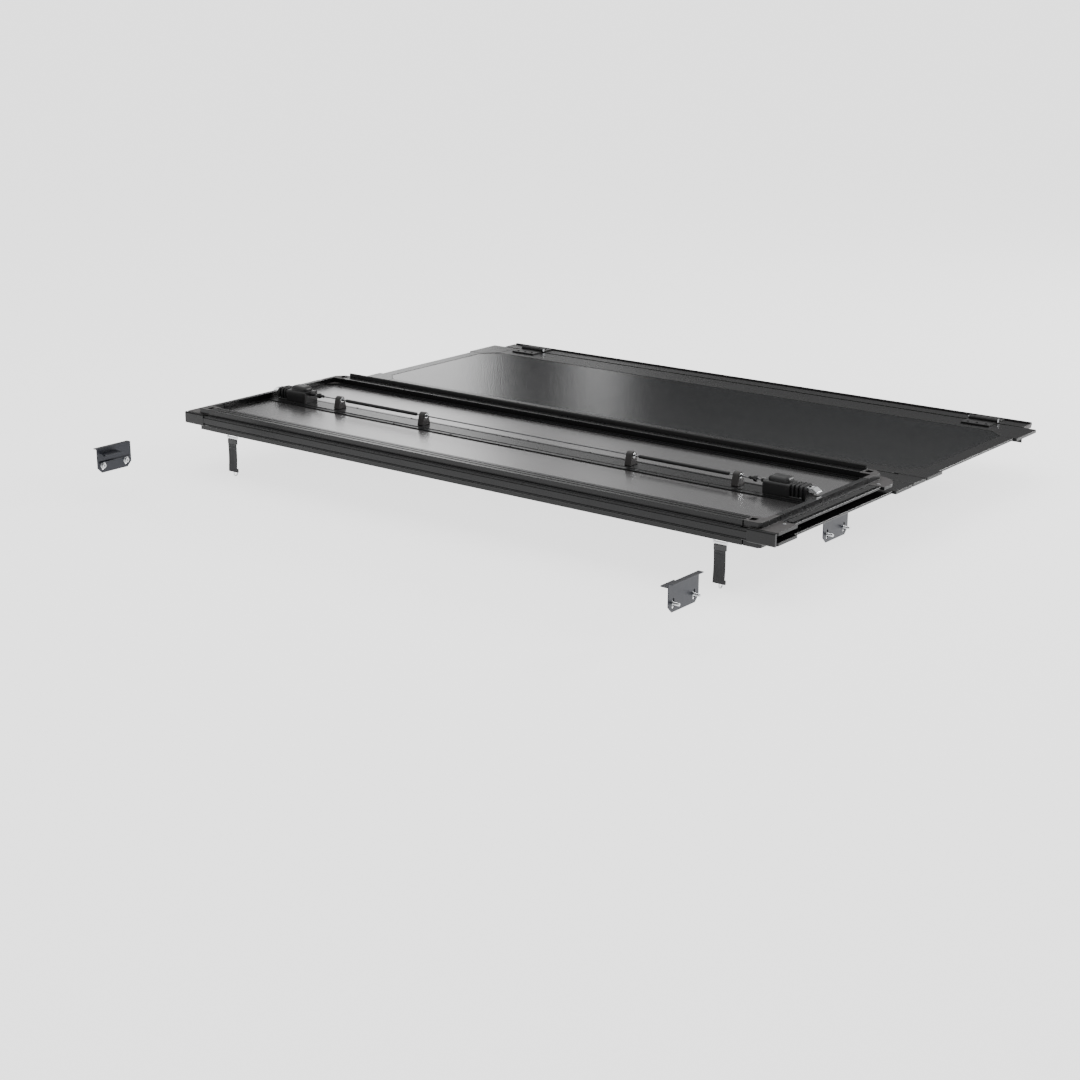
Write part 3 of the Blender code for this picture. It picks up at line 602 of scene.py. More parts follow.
def circle(centre, radius, steps):
    return arc(centre, radius, 0, 360, steps)[:-1]


def mirrored(outline):
    return [(-first, second) for first, second in outline]


def sided(side, outline):
    return [(side * first, second) for first, second in outline]


def span(side, start, end):
    """A stretch of x drawn for the right side, in rising order on either side."""
    return sorted((side * start, side * end))


# ---- Solids ----

def spot(axis, first, second, along):
    if axis == "X":
        return (along, first, second)
    if axis == "Y":
        return (first, along, second)
    return (first, second, along)


def prism(axis, start, end, outline, holes=()):
    """A closed prism of an outline, with holes, from start to end along axis."""
    shape = bmesh.new()
    edges = []
    for loop in (outline, *holes):
        ring = [shape.verts.new(spot(axis, first, second, start)) for first, second in loop]
        edges += [shape.edges.new((ring[place - 1], ring[place])) for place in range(len(ring))]
    if holes:
        filled = bmesh.ops.triangle_fill(shape, use_beauty=True, edges=edges)
        faces = [item for item in filled["geom"] if isinstance(item, bmesh.types.BMFace)]
    else:
        faces = [shape.faces.new(ring)]
    grown = bmesh.ops.extrude_face_region(shape, geom=faces, use_keep_orig=True)
    moved = [item for item in grown["geom"] if isinstance(item, bmesh.types.BMVert)]
    bmesh.ops.translate(shape, verts=moved, vec=Vector(spot(axis, 0, 0, end - start)))
    bmesh.ops.recalc_face_normals(shape, faces=shape.faces)
    return shape


def lathe(axis, centre, profile, steps=20):
    """A closed turned solid: profile is (along, radius) pairs from end to end, about a line along axis."""
    shape = bmesh.new()
    rings = []
    for along, radius in profile:
        outline = circle(centre, radius, steps)
        rings.append([shape.verts.new(spot(axis, first, second, along)) for first, second in outline])
    for low, high in zip(rings, rings[1:]):
        for place in range(steps):
            shape.faces.new((low[place - 1], low[place], high[place], high[place - 1]))
    shape.faces.new(rings[0])
    shape.faces.new(rings[-1])
    bmesh.ops.recalc_face_normals(shape, faces=shape.faces)
    return shape


def threaded(start, end, radius, pitch, depth):
    """A turned profile with the crests and roots of a thread."""
    turns = max(2, round(abs(end - start) / pitch))
    profile = []
    for turn in range(turns):
        for part, sink in ((0.0, depth), (0.3, 0.0), (0.6, 0.0), (0.9, depth)):
            profile.append((start + (end - start) * (turn + part) / turns, radius - sink))
    return profile + [(end, radius - depth)]


def scratch_object(shape):
    mesh = bpy.data.meshes.new("scratch")
    shape.to_mesh(mesh)
    shape.free()
    item = bpy.data.objects.new("scratch", mesh)
    bpy.context.collection.objects.link(item)
    return item


def combined(shape, others, operation):
    """The exact Boolean of one bmesh with others, as a new bmesh."""
    base = scratch_object(shape)
    operands = [scratch_object(other) for other in others]
    for operand in operands:
        modifier = base.modifiers.new("boolean", "BOOLEAN")
        modifier.operation = operation
        modifier.solver = "EXACT"
        modifier.object = operand
    bpy.context.view_layer.update()
    made = bpy.data.meshes.new_from_object(base.evaluated_get(bpy.context.evaluated_depsgraph_get()))
    result = bmesh.new()
    result.from_mesh(made)
    bpy.data.meshes.remove(made)
    for item in (base, *operands):
        mesh = item.data
        bpy.data.objects.remove(item, do_unlink=True)
        bpy.data.meshes.remove(mesh)
    bmesh.ops.dissolve_limit(result, angle_limit=math.radians(1), verts=result.verts, edges=result.edges)
    return result


def union(shape, others):
    return combined(shape, others, "UNION")


def cut(shape, others):
    return combined(shape, others, "DIFFERENCE")


def screw_head(axis, centre, base, outward, radius, tall):
    """A low cylinder head with a rounded rim and a hexagon socket; outward is +1 or -1 along axis."""
    rim = [(base + outward * tall * up, radius * share) for up, share in SCREW_RIM]
    head = lathe(axis, centre, rim)
    floor = base + outward * tall * 0.4
    socket = prism(axis, floor, base + outward * tall * 1.5, circle(centre, radius * 0.48, 6))
    return cut(head, [socket])


# ---- Pieces ----

FINISHES = make_materials()


def piece(name, body, finish, shape, place=Matrix.Identity(4), bevel=0.0004, stands_for=()):
    """A shown piece from a bmesh, moved by place, with softened edges, riding on a CAD body."""
    shape.transform(place)
    shape.normal_update()
    bmesh.ops.recalc_face_normals(shape, faces=shape.faces)
    mesh = bpy.data.meshes.new(name)
    shape.to_mesh(mesh)
    shape.free()
    mesh.shade_smooth()
    item = bpy.data.objects.new(name, mesh)
    bpy.context.collection.objects.link(item)
    if bevel:
        edge = item.modifiers.new("edges", "BEVEL")
        edge.width = bevel
        edge.segments = 2
        edge.limit_method = "ANGLE"
        edge.angle_limit = math.radians(28)
    else:
        mesh.set_sharp_from_angle(angle=math.radians(35))
    normals = item.modifiers.new("normals", "WEIGHTED_NORMAL")
    normals.keep_sharp = True
    material, slot = FINISHES[finish]
    mesh.materials.append(material)
    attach(item, body)
    if stands_for:
        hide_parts(*stands_for)
    return item


def refined(node, name, finish, bevel=0.0004):
    """A CAD node's own shape as a new piece, its flat faces made whole and its edges softened."""
    source = frame["nodes"][node]
    shape = bmesh.new()
    shape.from_mesh(source.data)
    bmesh.ops.remove_doubles(shape, verts=shape.verts, dist=0.000002)
    bmesh.ops.dissolve_limit(shape, angle_limit=math.radians(1), verts=shape.verts, edges=shape.edges)
    return piece(name, source["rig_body"], finish, shape, bevel=bevel, stands_for=[node])


def panel_place(name, flipped):
    """Panel frame to row frame at rest, and the panel's length, from its CAD side rail's box."""
    low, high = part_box(f"{name}_right_rail")
    if flipped:
        move = Matrix.Translation((0, low.y, low.z + CAP_PROUD))
        return move @ Matrix.Rotation(math.pi, 4, "X"), high.y - low.y
    return Matrix.Translation((0, high.y, high.z - CAP_PROUD)), high.y - low.y


def make_panels():
    panels = []
    for name, flipped, cab_rail, rear_corner in (
        ("front", False, CAB_RAIL, SQUARE_CORNER),
        ("middle", False, END_RAIL, SQUARE_CORNER),
        ("rear", True, END_RAIL, ROUND_CORNER),
    ):
        place, length = panel_place(name, flipped)
        low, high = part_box(f"{name}_cross_rail")
        centre = place.inverted() @ ((low + high) / 2)
        panels.append(Panel(name, f"{name}_panel", place, length, cab_rail, rear_corner, centre.y))
    return panels


# ---- Panel frames ----

def skin_plan(panel):
    half = FRAME_INNER - GAP
    inner = CAP_INNER - 2 * GAP
    front = -panel.cab_rail - GAP
    rear = END_RAIL + GAP - panel.length
    step = CAP_STEP + 2 * GAP
    right = [(inner, front), (half, front - step), (half, rear + step), (inner, rear)]
    return right + mirrored(right)[::-1]


def finish_underside(item, panel, finish):
    """Gives the faces on a panel's underside a finish of their own."""
    item.data.materials.append(FINISHES[finish][0])
    down = panel.place.to_3x3() @ Vector((0, 0, -1))
    for face in item.data.polygons:
        face.material_index = int(face.normal.dot(down) > 0.5)


def skin_sheet(panel):
    shape = prism("Z", -SKIN_DROP - SKIN, -SKIN_DROP, skin_plan(panel))
    item = piece(f"{panel.name}_skin_sheet", panel.body, "pebble", shape, panel.place, 0.0003,
                 [f"{panel.name}_skin"])
    finish_underside(item, panel, "sheet")


def side_section():
    """Section (x, z) of a right side rail, with two thin grooves under its lip."""
    outer = HALF_WIDTH - LIP_INSET
    points = arc((outer - LIP_ROUND, -LIP_ROUND), LIP_ROUND, 0, 90, 4)
    points += [(FRAME_INNER, 0), (FRAME_INNER, -SKIN_SEAT)]
    points += [(LEDGE_INNER, -SKIN_SEAT), (LEDGE_INNER, -SKIN_SEAT - LEDGE_THICK)]
    points += [(RIB_INNER, -SKIN_SEAT - LEDGE_THICK), (RIB_INNER, -DEPTH), (RIB_OUTER, -DEPTH)]
    points += [(RIB_OUTER, -LIP)]
    for near in LIP_GROOVES:
        far = near + LIP_GROOVE_WIDTH
        points += [(near, -LIP), (near, LIP_GROOVE_DEEP - LIP), (far, LIP_GROOVE_DEEP - LIP), (far, -LIP)]
    return points + arc((outer - LIP_ROUND, LIP_ROUND - LIP), LIP_ROUND, -90, 0, 4)


def cap_outline(width, radius):
    """Plan (x, distance inwards) of a right corner cap."""
    leg = width + CAP_STEP
    points = [(CAP_INNER, 0), (CAP_INNER, width), (FRAME_INNER, leg), (HALF_WIDTH, leg)]
    return points + arc((HALF_WIDTH - radius, radius), radius, 0, -90, 10)


def cap_block(width, radius):
    """Plan (x, distance inwards) of the deep part under a right corner cap."""
    trim = BLOCK_TRIM + BLOCK_TRIM_SHARE * radius
    inner = CAP_INNER + BLOCK_INSET
    leg = width + CAP_STEP - BLOCK_INSET
    points = [(inner, BLOCK_EDGE), (RIB_OUTER - trim, BLOCK_EDGE), (RIB_OUTER, BLOCK_EDGE + trim)]
    return points + [(RIB_OUTER, leg), (RIB_INNER, leg), (RIB_INNER, END_RAIL), (inner, END_RAIL)]


def corner_cap(panel, word, side, at_rear):
    """An end casting: a plate over the frame's corner, a deep block with a pocket, and a screw."""
    width = END_RAIL if at_rear else panel.cab_rail
    radius = panel.rear_corner if at_rear else SQUARE_CORNER

    def placed(plan):
        return [(side * x, y - panel.length if at_rear else -y) for x, y in plan]

    plate = prism("Z", -LIP - CAP_PROUD, CAP_PROUD, placed(cap_outline(width, radius)))
    block = prism("Z", -DEPTH - CAP_PROUD, OVERLAP - LIP, placed(cap_block(width, radius)))
    shape = union(plate, [block])
    pocket = placed(rectangle(CAP_INNER + POCKET_X[0], CAP_INNER + POCKET_X[1], *POCKET_Y))
    shape = cut(shape, [prism("Z", -DEPTH - CUT_PAST, POCKET_DEEP - DEPTH, pocket)])
    end = "rear" if at_rear else "cab"
    cap = piece(f"{panel.name}_{word}_{end}_cap", panel.body, "frame", shape, panel.place, 0.0006)
    finish_underside(cap, panel, "casting")
    screw_at = placed([(HALF_WIDTH - CAP_SCREW_AT[0], width + CAP_STEP - CAP_SCREW_AT[1])])[0]
    head = screw_head("Z", screw_at, -LIP - CAP_PROUD, -1, *CAP_SCREW)
    piece(f"{panel.name}_{word}_{end}_cap_screw", panel.body, "zinc", head, panel.place, 0)


def side_rail(panel, word, side):
    start = -panel.cab_rail - CAP_STEP - GAP
    end = END_RAIL + CAP_STEP + GAP - panel.length
    section = sided(side, side_section())
    piece(f"{panel.name}_{word}_side_rail", panel.body, "frame", prism("Y", start, end, section),
          panel.place, 0.0003, [f"{panel.name}_{word}_rail"])
    for at_rear in (False, True):
        corner_cap(panel, word, side, at_rear)
    lips = [(STRIKER_HOOK + SEAL_CLEAR + across, -LIP - deep) for across, deep in SEAL_SECTION]
    seal = prism("Y", start - SEAL_OVERRUN, end + SEAL_OVERRUN, sided(side, lips))
    piece(f"{panel.name}_{word}_side_seal", panel.body, "rubber", seal, panel.place, 0.0002)


def cross_section(centre_y):
    """Section (y, z) of a cross rail: a low hat with a foot along each side and two grooves in its land."""
    foot_z = CROSS_Z - CROSS_FOOT_THICK
    land_z = CROSS_Z - CROSS_DEEP
    foot = CROSS_HALF_WIDTH + CROSS_FOOT
    half = [(foot, CROSS_Z), (foot, foot_z), (CROSS_HALF_WIDTH, foot_z)]
    half.append((CROSS_HALF_WIDTH - CROSS_SLOPE, land_z))
    for offset, rise in CROSS_GROOVE:
        half.append((CROSS_GROOVE_Y + offset, land_z + rise))
    outline = half + mirrored(half)[::-1]
    return [(centre_y + y, z) for y, z in outline]


def cross_rail(panel, half_length):
    shape = prism("X", -half_length, half_length, cross_section(panel.latch_y))
    piece(f"{panel.name}_cross_beam", panel.body, "frame", shape, panel.place, 0.0003,
          [f"{panel.name}_cross_rail"])
    for row, word in ((-1, "near"), (1, "far")):
        y = panel.latch_y + row * (CROSS_HALF_WIDTH + CROSS_FOOT / 2)
        rivets = bmesh.new()
        for number in range(RIVET_COUNT):
            x = (number / (RIVET_COUNT - 1) - 0.5) * 2 * (half_length - RIVET_END)
            rivet = lathe("Z", (x, y), [(CROSS_Z - drop, radius) for drop, radius in RIVET], 12)
            mesh = bpy.data.meshes.new("scratch")
            rivet.to_mesh(mesh)
            rivet.free()
            rivets.from_mesh(mesh)
            bpy.data.meshes.remove(mesh)
        piece(f"{panel.name}_cross_rivets_{word}", panel.body, "frame", rivets, panel.place, 0)


def panel_pieces(panel):
    skin_sheet(panel)
    for end in ("cab", "rear"):
        refined(f"{panel.name}_{end}_rail", f"{panel.name}_{end}_end_rail", "frame", 0.0005)
    for word, side in SIDES:
        side_rail(panel, word, side)
    cross_rail(panel, CROSS_HALF_LENGTH if panel.name != "front" else FRONT_CROSS_HALF_LENGTH)


# ---- Latches ----

def rounded_box(low, high, corner, steps=5):
    """A rectangle with rounded corners, its points running round from its right side."""
    left, near = low[0] + corner, low[1] + corner
    right, far = high[0] - corner, high[1] - corner
    points = []
    for quarter, centre in enumerate(((right, far), (left, far), (left, near), (right, near))):
        points += arc(centre, corner, 90 * quarter, 90 * quarter + 90, steps)
    return points


def rolled_dome(low, high, base, top, roll):
    """A closed boss on plan (low, high) whose edge rolls over by roll to its top."""
    levels = [(0.0, base)]
    for step in range(DOME_STEPS + 1):
        angle = math.radians(90 * step / DOME_STEPS)
        levels.append((roll * (1 - math.cos(angle)), top + roll * (1 - math.sin(angle))))
    shape = bmesh.new()
    rings = []
    for inset, z in levels:
        outline = rounded_box((low[0] + inset, low[1] + inset), (high[0] - inset, high[1] - inset),
                              roll + DOME_CORNER - inset)
        rings.append([shape.verts.new((x, y, z)) for x, y in outline])
    for lower, upper in zip(rings, rings[1:]):
        for place in range(len(lower)):
            shape.faces.new((lower[place - 1], lower[place], upper[place], upper[place - 1]))
    shape.faces.new(rings[0])
    shape.faces.new(rings[-1])
    bmesh.ops.recalc_face_normals(shape, faces=shape.faces)
    return shape


def latch_housing(panel, word, side):
    """A moulded case with a raised dome over the spring, and a ribbed nose round the bolt."""
    y = panel.latch_y

    def block(start, end, half, low, round_by):
        right = [(half, HOUSING_BASE_Z)] + arc((half - round_by, low + round_by), round_by, 0, -90, 6)
        outline = [(y + a, b) for a, b in right + mirrored(right)[::-1]]
        return prism("X", *span(side, start, end), outline)

    body = block(HOUSING_INNER, NOSE_START, HOUSING_HALF, HOUSING_LOW + SHELL_RISE, SHELL_ROUND)
    ends = span(side, DOME_INNER, DOME_OUTER)
    dome = rolled_dome((ends[0], y - DOME_HALF), (ends[1], y + DOME_HALF), DOME_BASE, DOME_LOW, DOME_ROLL)
    nose = block(NOSE_START - OVERLAP, NOSE_END, NOSE_HALF, NOSE_LOW, NOSE_ROUND)
    foot = block(NOSE_START - OVERLAP, HOUSING_OUTER, HOUSING_HALF, HOUSING_BASE_Z - FOOT_THICK, FOOT_ROUND)
    parts = [dome, nose, foot]
    for rib in NOSE_RIBS:
        rib_x = NOSE_START + rib
        parts.append(block(rib_x, rib_x + NOSE_RIB_THICK, NOSE_RIB_HALF, HOUSING_LOW, NOSE_RIB_ROUND))
    spout = circle((y, CABLE_Z + SPOUT_RISE), SPOUT_RADIUS, 20)
    parts.append(prism("X", *span(side, HOUSING_INNER + GAP, HOUSING_INNER + SPOUT_LENGTH), spout))
    reach_y = BOLT_HALF_Y + BOLT_CLEARANCE
    reach_z = BOLT_HALF_Z + BOLT_CLEARANCE
    channel = rectangle(y - reach_y, y + reach_y, BOLT_Z - reach_z, BOLT_Z + reach_z)
    cavity = prism("X", *span(side, CAVITY_END, NOSE_END + CUT_PAST), channel)
    piece(f"{panel.name}_latch_case_{word}", panel.body, "moulded", cut(union(body, parts), [cavity]),
          panel.place, 0.0006, [f"{panel.name}_latch_housing_{word}"])
    for row, end in ((-1, "near"), (1, "far")):
        at = (side * (HOUSING_OUTER - HOUSING_SCREW_IN), y + row * HOUSING_SCREW_Y)
        head = screw_head("Z", at, HOUSING_BASE_Z - HOUSING_SCREW_DROP, -1, *HOUSING_SCREW)
        piece(f"{panel.name}_latch_screw_{word}_{end}", panel.body, "zinc", head, panel.place, 0)


def latch_bolt(panel, word, side):
    """A slam bolt with a long chamfer below its tip, a groove, and a forked tail that clears its spring."""
    y = panel.latch_y
    low = BOLT_Z - BOLT_HALF_Z
    high = BOLT_Z + BOLT_HALF_Z
    outline = [(BOLT_TAIL, low), (BOLT_TAIL, high), (BOLT_TIP, high), (BOLT_TIP, high - BOLT_TIP_FLAT)]
    outline.append((BOLT_TIP - BOLT_CHAMFER, low))
    shape = prism("Y", y - BOLT_HALF_Y, y + BOLT_HALF_Y, sided(side, outline))
    groove = rectangle(*span(side, *BOLT_GROOVE), low - OVERLAP, low + BOLT_GROOVE_DEEP)
    fork_floor = BOLT_TAIL + BOLT_TRAVEL + FORK_CLEARANCE
    fork = rectangle(*span(side, BOLT_TAIL - OVERLAP, fork_floor), low - OVERLAP, high + OVERLAP)
    shape = cut(shape, [prism("Y", y - BOLT_GROOVE_HALF, y + BOLT_GROOVE_HALF, groove),
                        prism("Y", y - FORK_HALF, y + FORK_HALF, fork)])
    piece(f"{panel.name}_slam_bolt_{word}", f"{panel.name}_bolt_{word}", "bolt", shape, panel.place,
          0.0007, [f"{panel.name}_latch_bolt_{word}"])


def wire_curve(name, body, finish, points, radius):
    """A round wire along points, riding on a CAD body."""
    curve = bpy.data.curves.new(name, "CURVE")
    curve.dimensions = "3D"
    curve.bevel_depth = radius
    curve.bevel_resolution = 3
    curve.use_fill_caps = True
    spline = curve.splines.new("POLY")
    spline.points.add(len(points) - 1)
    for place, point in zip(spline.points, points):
        place.co = (*point, 1.0)
    material, slot = FINISHES[finish]
    curve.materials.append(material)
    wire = bpy.data.objects.new(name, curve)
    bpy.context.collection.objects.link(wire)
    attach(wire, body)
    return wire


def cable_set(panel):
    """The release cable, the sleeves between its clips, and a threaded nut set at each end."""
    y = panel.latch_y
    line = (y, CABLE_Z)

    def turned(name, finish, profile, steps):
        shape = lathe("X", line, profile, steps)
        return piece(f"{panel.name}_cable_{name}", panel.body, finish, shape, panel.place, 0)

    for number, (first, second) in enumerate(((0, 1), (2, 3))):
        start = CLIP_X[first] + CLIP_HALF_X + SLEEVE_INSET
        end = CLIP_X[second] - CLIP_HALF_X - SLEEVE_INSET
        profile = [(start + along, SLEEVE_RADIUS * share) for along, share in SLEEVE_TAPER]
        profile += [(end - along, SLEEVE_RADIUS * share) for along, share in reversed(SLEEVE_TAPER)]
        turned(f"sleeve_{number}", "cable", profile, 16)
    reach = HOUSING_INNER - GAP
    for word, side in SIDES:
        barrel = threaded(side * (FERRULE_END + BARREL_OUT), side * reach, *BARREL_THREAD)
        turned(f"barrel_{word}", "cable", barrel, 20)
        nut = prism("X", *span(side, FERRULE_END, FERRULE_END + NUT_LENGTH), circle(line, NUT_RADIUS, 6))
        piece(f"{panel.name}_cable_nut_{word}", panel.body, "moulded", nut,
                                panel.place, 0.0005)
        boot = [(side * (FERRULE_END + along), radius) for along, radius in BOOT]
        turned(f"boot_{word}", "rubber", boot, 16)
    points = []
    for number in range(CABLE_POINTS):
        x = (number / (CABLE_POINTS - 1) * 2 - 1) * reach
        points.append(panel.place @ Vector((x, y, CABLE_Z)))
    cable = wire_curve(f"{panel.name}_release_cable", panel.body, "wire", points, CABLE_RADIUS)
    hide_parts(f"{panel.name}_latch_cable")


def cable_clips(panel):
    """Four arched clips on the cross rail, each with a bright eyelet round the cable."""
    y = panel.latch_y
    base = HOUSING_BASE_Z + GAP
    centre = (y, CABLE_Z)
    for number, x in enumerate(CLIP_X):
        right = [(CLIP_HALF_Y, base), (CLIP_HALF_Y, base - CLIP_FOOT)]
        right += arc((0, CABLE_Z), CLIP_ROUND, CLIP_SHOULDER, -90, 6)
        outline = [(y + a, b) for a, b in right + mirrored(right[:-1])[::-1]]
        shape = prism("X", x - CLIP_HALF_X, x + CLIP_HALF_X, outline, [circle(centre, CLIP_BORE, 20)])
        piece(f"{panel.name}_cable_clip_{number}", panel.body, "clip", shape, panel.place, 0.0009)
        bore = circle(centre, CLIP_BORE - EYELET_WALL, 24)
        eyelet = prism("X", x - CLIP_HALF_X - EYELET_PROUD, x + CLIP_HALF_X + EYELET_PROUD,
                       circle(centre, CLIP_BORE, 24), [bore])
        piece(f"{panel.name}_cable_eyelet_{number}", panel.body, "bolt", eyelet, panel.place, 0.0003)


def latch_set(panel):
    for word, side in SIDES:
        latch_housing(panel, word, side)
        latch_bolt(panel, word, side)
        spring = frame["nodes"][f"{panel.name}_latch_spring_{word}"]
        spring.data.materials.clear()
        spring.data.materials.append(FINISHES["zinc"][0])
    cable_set(panel)
    cable_clips(panel)


# ---- Folding hinge strips ----

def strip_caps(prefix):
    """A rounded cap sleeved over each end of a hinge strip and its two bars."""
    low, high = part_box(f"{prefix}_hinge_strip")
    if high.z - low.z > high.y - low.y:
        middle = (low.y + high.y) / 2
        first, second, turn = (middle, low.z + BAR_RADIUS), (middle, high.z - BAR_RADIUS), 180
    else:
        middle = (low.z + high.z) / 2
        first, second, turn = (low.y + BAR_RADIUS, middle), (high.y - BAR_RADIUS, middle), 90
    outline = arc(first, STRIP_CAP, turn, turn + 180, 10) + arc(second, STRIP_CAP, turn + 180, turn + 360, 10)
    for word, side in SIDES:
        cap = prism("X", *span(side, STRIP_CAP_INNER, STRIP_CAP_OUTER), outline)
        piece(f"{prefix}_strip_cap_{word}", f"{prefix}_strip", "frame", cap, bevel=0.0010)


def hinge_strips():
    for prefix in ("mid", "rear"):
        refined(f"{prefix}_hinge_strip", f"{prefix}_strip_bar", "frame", 0.0003)
    for prefix in ("mid", "rear"):
        strip_caps(prefix)


# ---- Header, lift hinges and clamps ----

def header():
    refined("header_rail", "header_beam", "frame", 0.0005)
    refined("header_seal", "header_bulb_seal", "rubber", 0.0)
    low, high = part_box("header_rail")
    seat_z = low.z + (high.z - low.z) * HEADER_SEAT / HEADER_TALL
    for word, side in SIDES:
        outline = rectangle(low.y - CAP_PROUD, high.y + CAP_PROUD, seat_z - CAP_PROUD, high.z + CAP_PROUD)
        cap = prism("X", *span(side, high.x + GAP, high.x + GAP + HEADER_CAP_THICK), outline)
        piece(f"header_cap_{word}", "bed_fixed", "casting", cap, bevel=0.0008)
    for number in range(HEADER_SCREWS):
        x = (number / (HEADER_SCREWS - 1) - 0.5) * HEADER_SCREW_SPREAD
        head = screw_head("Z", (x, high.y - HEADER_SCREW_IN), high.z - HEADER_SCREW_DROP, 1, *HEADER_SCREW)
        piece(f"header_screw_{number}", "bed_fixed", "zinc", head, bevel=0)


def lift_hinges():
    for word, _ in SIDES:
        for part in ("fixed", "moving"):
            refined(f"hinge_{part}_leaf_{word}", f"lift_hinge_{part}_{word}", "hinge", 0.0005)
        low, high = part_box(f"hinge_pin_{word}")
        centre = ((low.y + high.y) / 2, (low.z + high.z) / 2)
        radius = (high.y - low.y) / 2
        ends = [(low.x - out, radius * share) for out, share in PIN_HEAD]
        ends += [(high.x + out, radius * share) for out, share in reversed(PIN_HEAD)]
        piece(f"lift_hinge_pin_{word}", "bed_fixed", "zinc", lathe("X", centre, ends), bevel=0,
              stands_for=[f"hinge_pin_{word}"])
        for part, body in (("fixed", "bed_fixed"), ("moving", "front_panel")):
            low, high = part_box(f"hinge_{part}_leaf_{word}")
            away = high.y - LEAF_SCREW_IN if part == "fixed" else low.y + LEAF_SCREW_IN
            for number, step in enumerate((-LEAF_SCREW_STEP, 0.0, LEAF_SCREW_STEP)):
                at = ((low.x + high.x) / 2 + step, away)
                head = screw_head("Z", at, low.z + LEAF_THICK, 1, *LEAF_SCREW)
                piece(f"lift_hinge_{part}_screw_{word}_{number}", body, "hinge", head, bevel=0)


def clamps():
    for word, _ in SIDES:
        refined(f"clamp_body_{word}", f"clamp_frame_{word}", "clamp", 0.0012)
        body = f"clamp_screw_{word}"
        low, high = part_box(body)
        centre = ((low.x + high.x) / 2, (low.y + high.y) / 2)
        hexagon = prism("Z", low.z, low.z + CLAMP_HEAD_TALL, circle(centre, CLAMP_HEAD_RADIUS, 6))
        piece(f"clamp_bolt_head_{word}", body, "zinc", hexagon, bevel=0.0007, stands_for=[body])
        turned = threaded(low.z + CLAMP_THREAD_LOW, high.z - CLAMP_THREAD_HIGH, *CLAMP_THREAD)
        piece(f"clamp_bolt_thread_{word}", body, "zinc", lathe("Z", centre, turned), bevel=0)
        pad = [(high.z - drop, radius) for drop, radius in CLAMP_PAD]
        piece(f"clamp_pad_disc_{word}", body, "zinc", lathe("Z", centre, pad, 28), bevel=0.0003)


# ---- Strikers ----

def striker_slots(bolts_y):
    """Outlines (y, z) of a striker plate's slots."""
    slots = []
    for y in bolts_y:
        top = (y, STRIKER_BOLT_Z + SLOT_HALF)
        bottom = (y, STRIKER_BOLT_Z - SLOT_HALF)
        slots.append(arc(top, SLOT_RADIUS, 0, 180, 8) + arc(bottom, SLOT_RADIUS, 180, 360, 8))
    return slots


def striker(prefix, word, side):
    """A folded bracket: a hook over the bed rail, a plate with two slots and a V crease, a ribbed tongue."""
    low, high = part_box(f"{prefix}_striker_{word}")
    centre_y = (low.y + high.y) / 2
    latch_y = centre_y + STRIKER_SHIFT
    half = (high.y - low.y) / 2
    bolts_y = (centre_y - STRIKER_BOLT_STEP, centre_y + STRIKER_BOLT_STEP)
    near, far = centre_y - half, centre_y + half
    outline = [(near, STRIKER_LOW + STRIKER_TRIM), (near + STRIKER_TRIM, STRIKER_LOW)]
    outline += [(far - STRIKER_TRIM, STRIKER_LOW), (far, STRIKER_LOW + STRIKER_TRIM)]
    outline += [(far, STRIKER_TOP), (near, STRIKER_TOP)]
    plate_x = span(side, STRIKER_FACE, STRIKER_FACE + STRIKER_THICK)
    plate = prism("X", *plate_x, outline, striker_slots(bolts_y))
    hook = rectangle(*span(side, STRIKER_FACE, STRIKER_HOOK), 0, STRIKER_THICK)
    joined = [prism("Y", near, far, hook)]
    joined.append(prism("Y", latch_y - TONGUE_HALF, latch_y + TONGUE_HALF, sided(side, TONGUE)))
    joined.append(prism("Y", near + CREASE_END, far - CREASE_END, sided(side, CREASE)))
    for offset in GUSSETS_Y:
        y = latch_y + offset
        joined.append(prism("Y", y, y + GUSSET_THICK, sided(side, GUSSET)))
    piece(f"{prefix}_striker_bracket_{word}", "bed_fixed", "striker", union(plate, joined), bevel=0.0004,
          stands_for=[f"{prefix}_striker_{word}"])
    for number, y in enumerate(bolts_y):
        at = (y, STRIKER_BOLT_Z)
        washer = [(side * (STRIKER_FACE - out), WASHER_RADIUS) for out in (0.0, WASHER_THICK)]
        shank = [(side * (STRIKER_FACE + out), radius) for out, radius in SHANK_TIP]
        shank_ends = (side * (STRIKER_FACE + SHANK_LONG), side * (STRIKER_FACE + SHANK_SHORT))
        shank += threaded(*shank_ends, *SHANK_THREAD)
        for part, profile, steps, bevel in (("washer", washer, 24, 0.0002), ("thread", shank, 16, 0)):
            piece(f"{prefix}_striker_{part}_{word}_{number}", "bed_fixed", "zinc",
                  lathe("X", at, profile, steps), bevel=bevel)
        head = screw_head("X", at, side * (STRIKER_FACE - SCREW_STANDOFF), -side, *STRIKER_SCREW)
        piece(f"{prefix}_striker_bolt_{word}_{number}", "bed_fixed", "zinc", head, bevel=0)


# ---- Straps, prop rods and seals ----

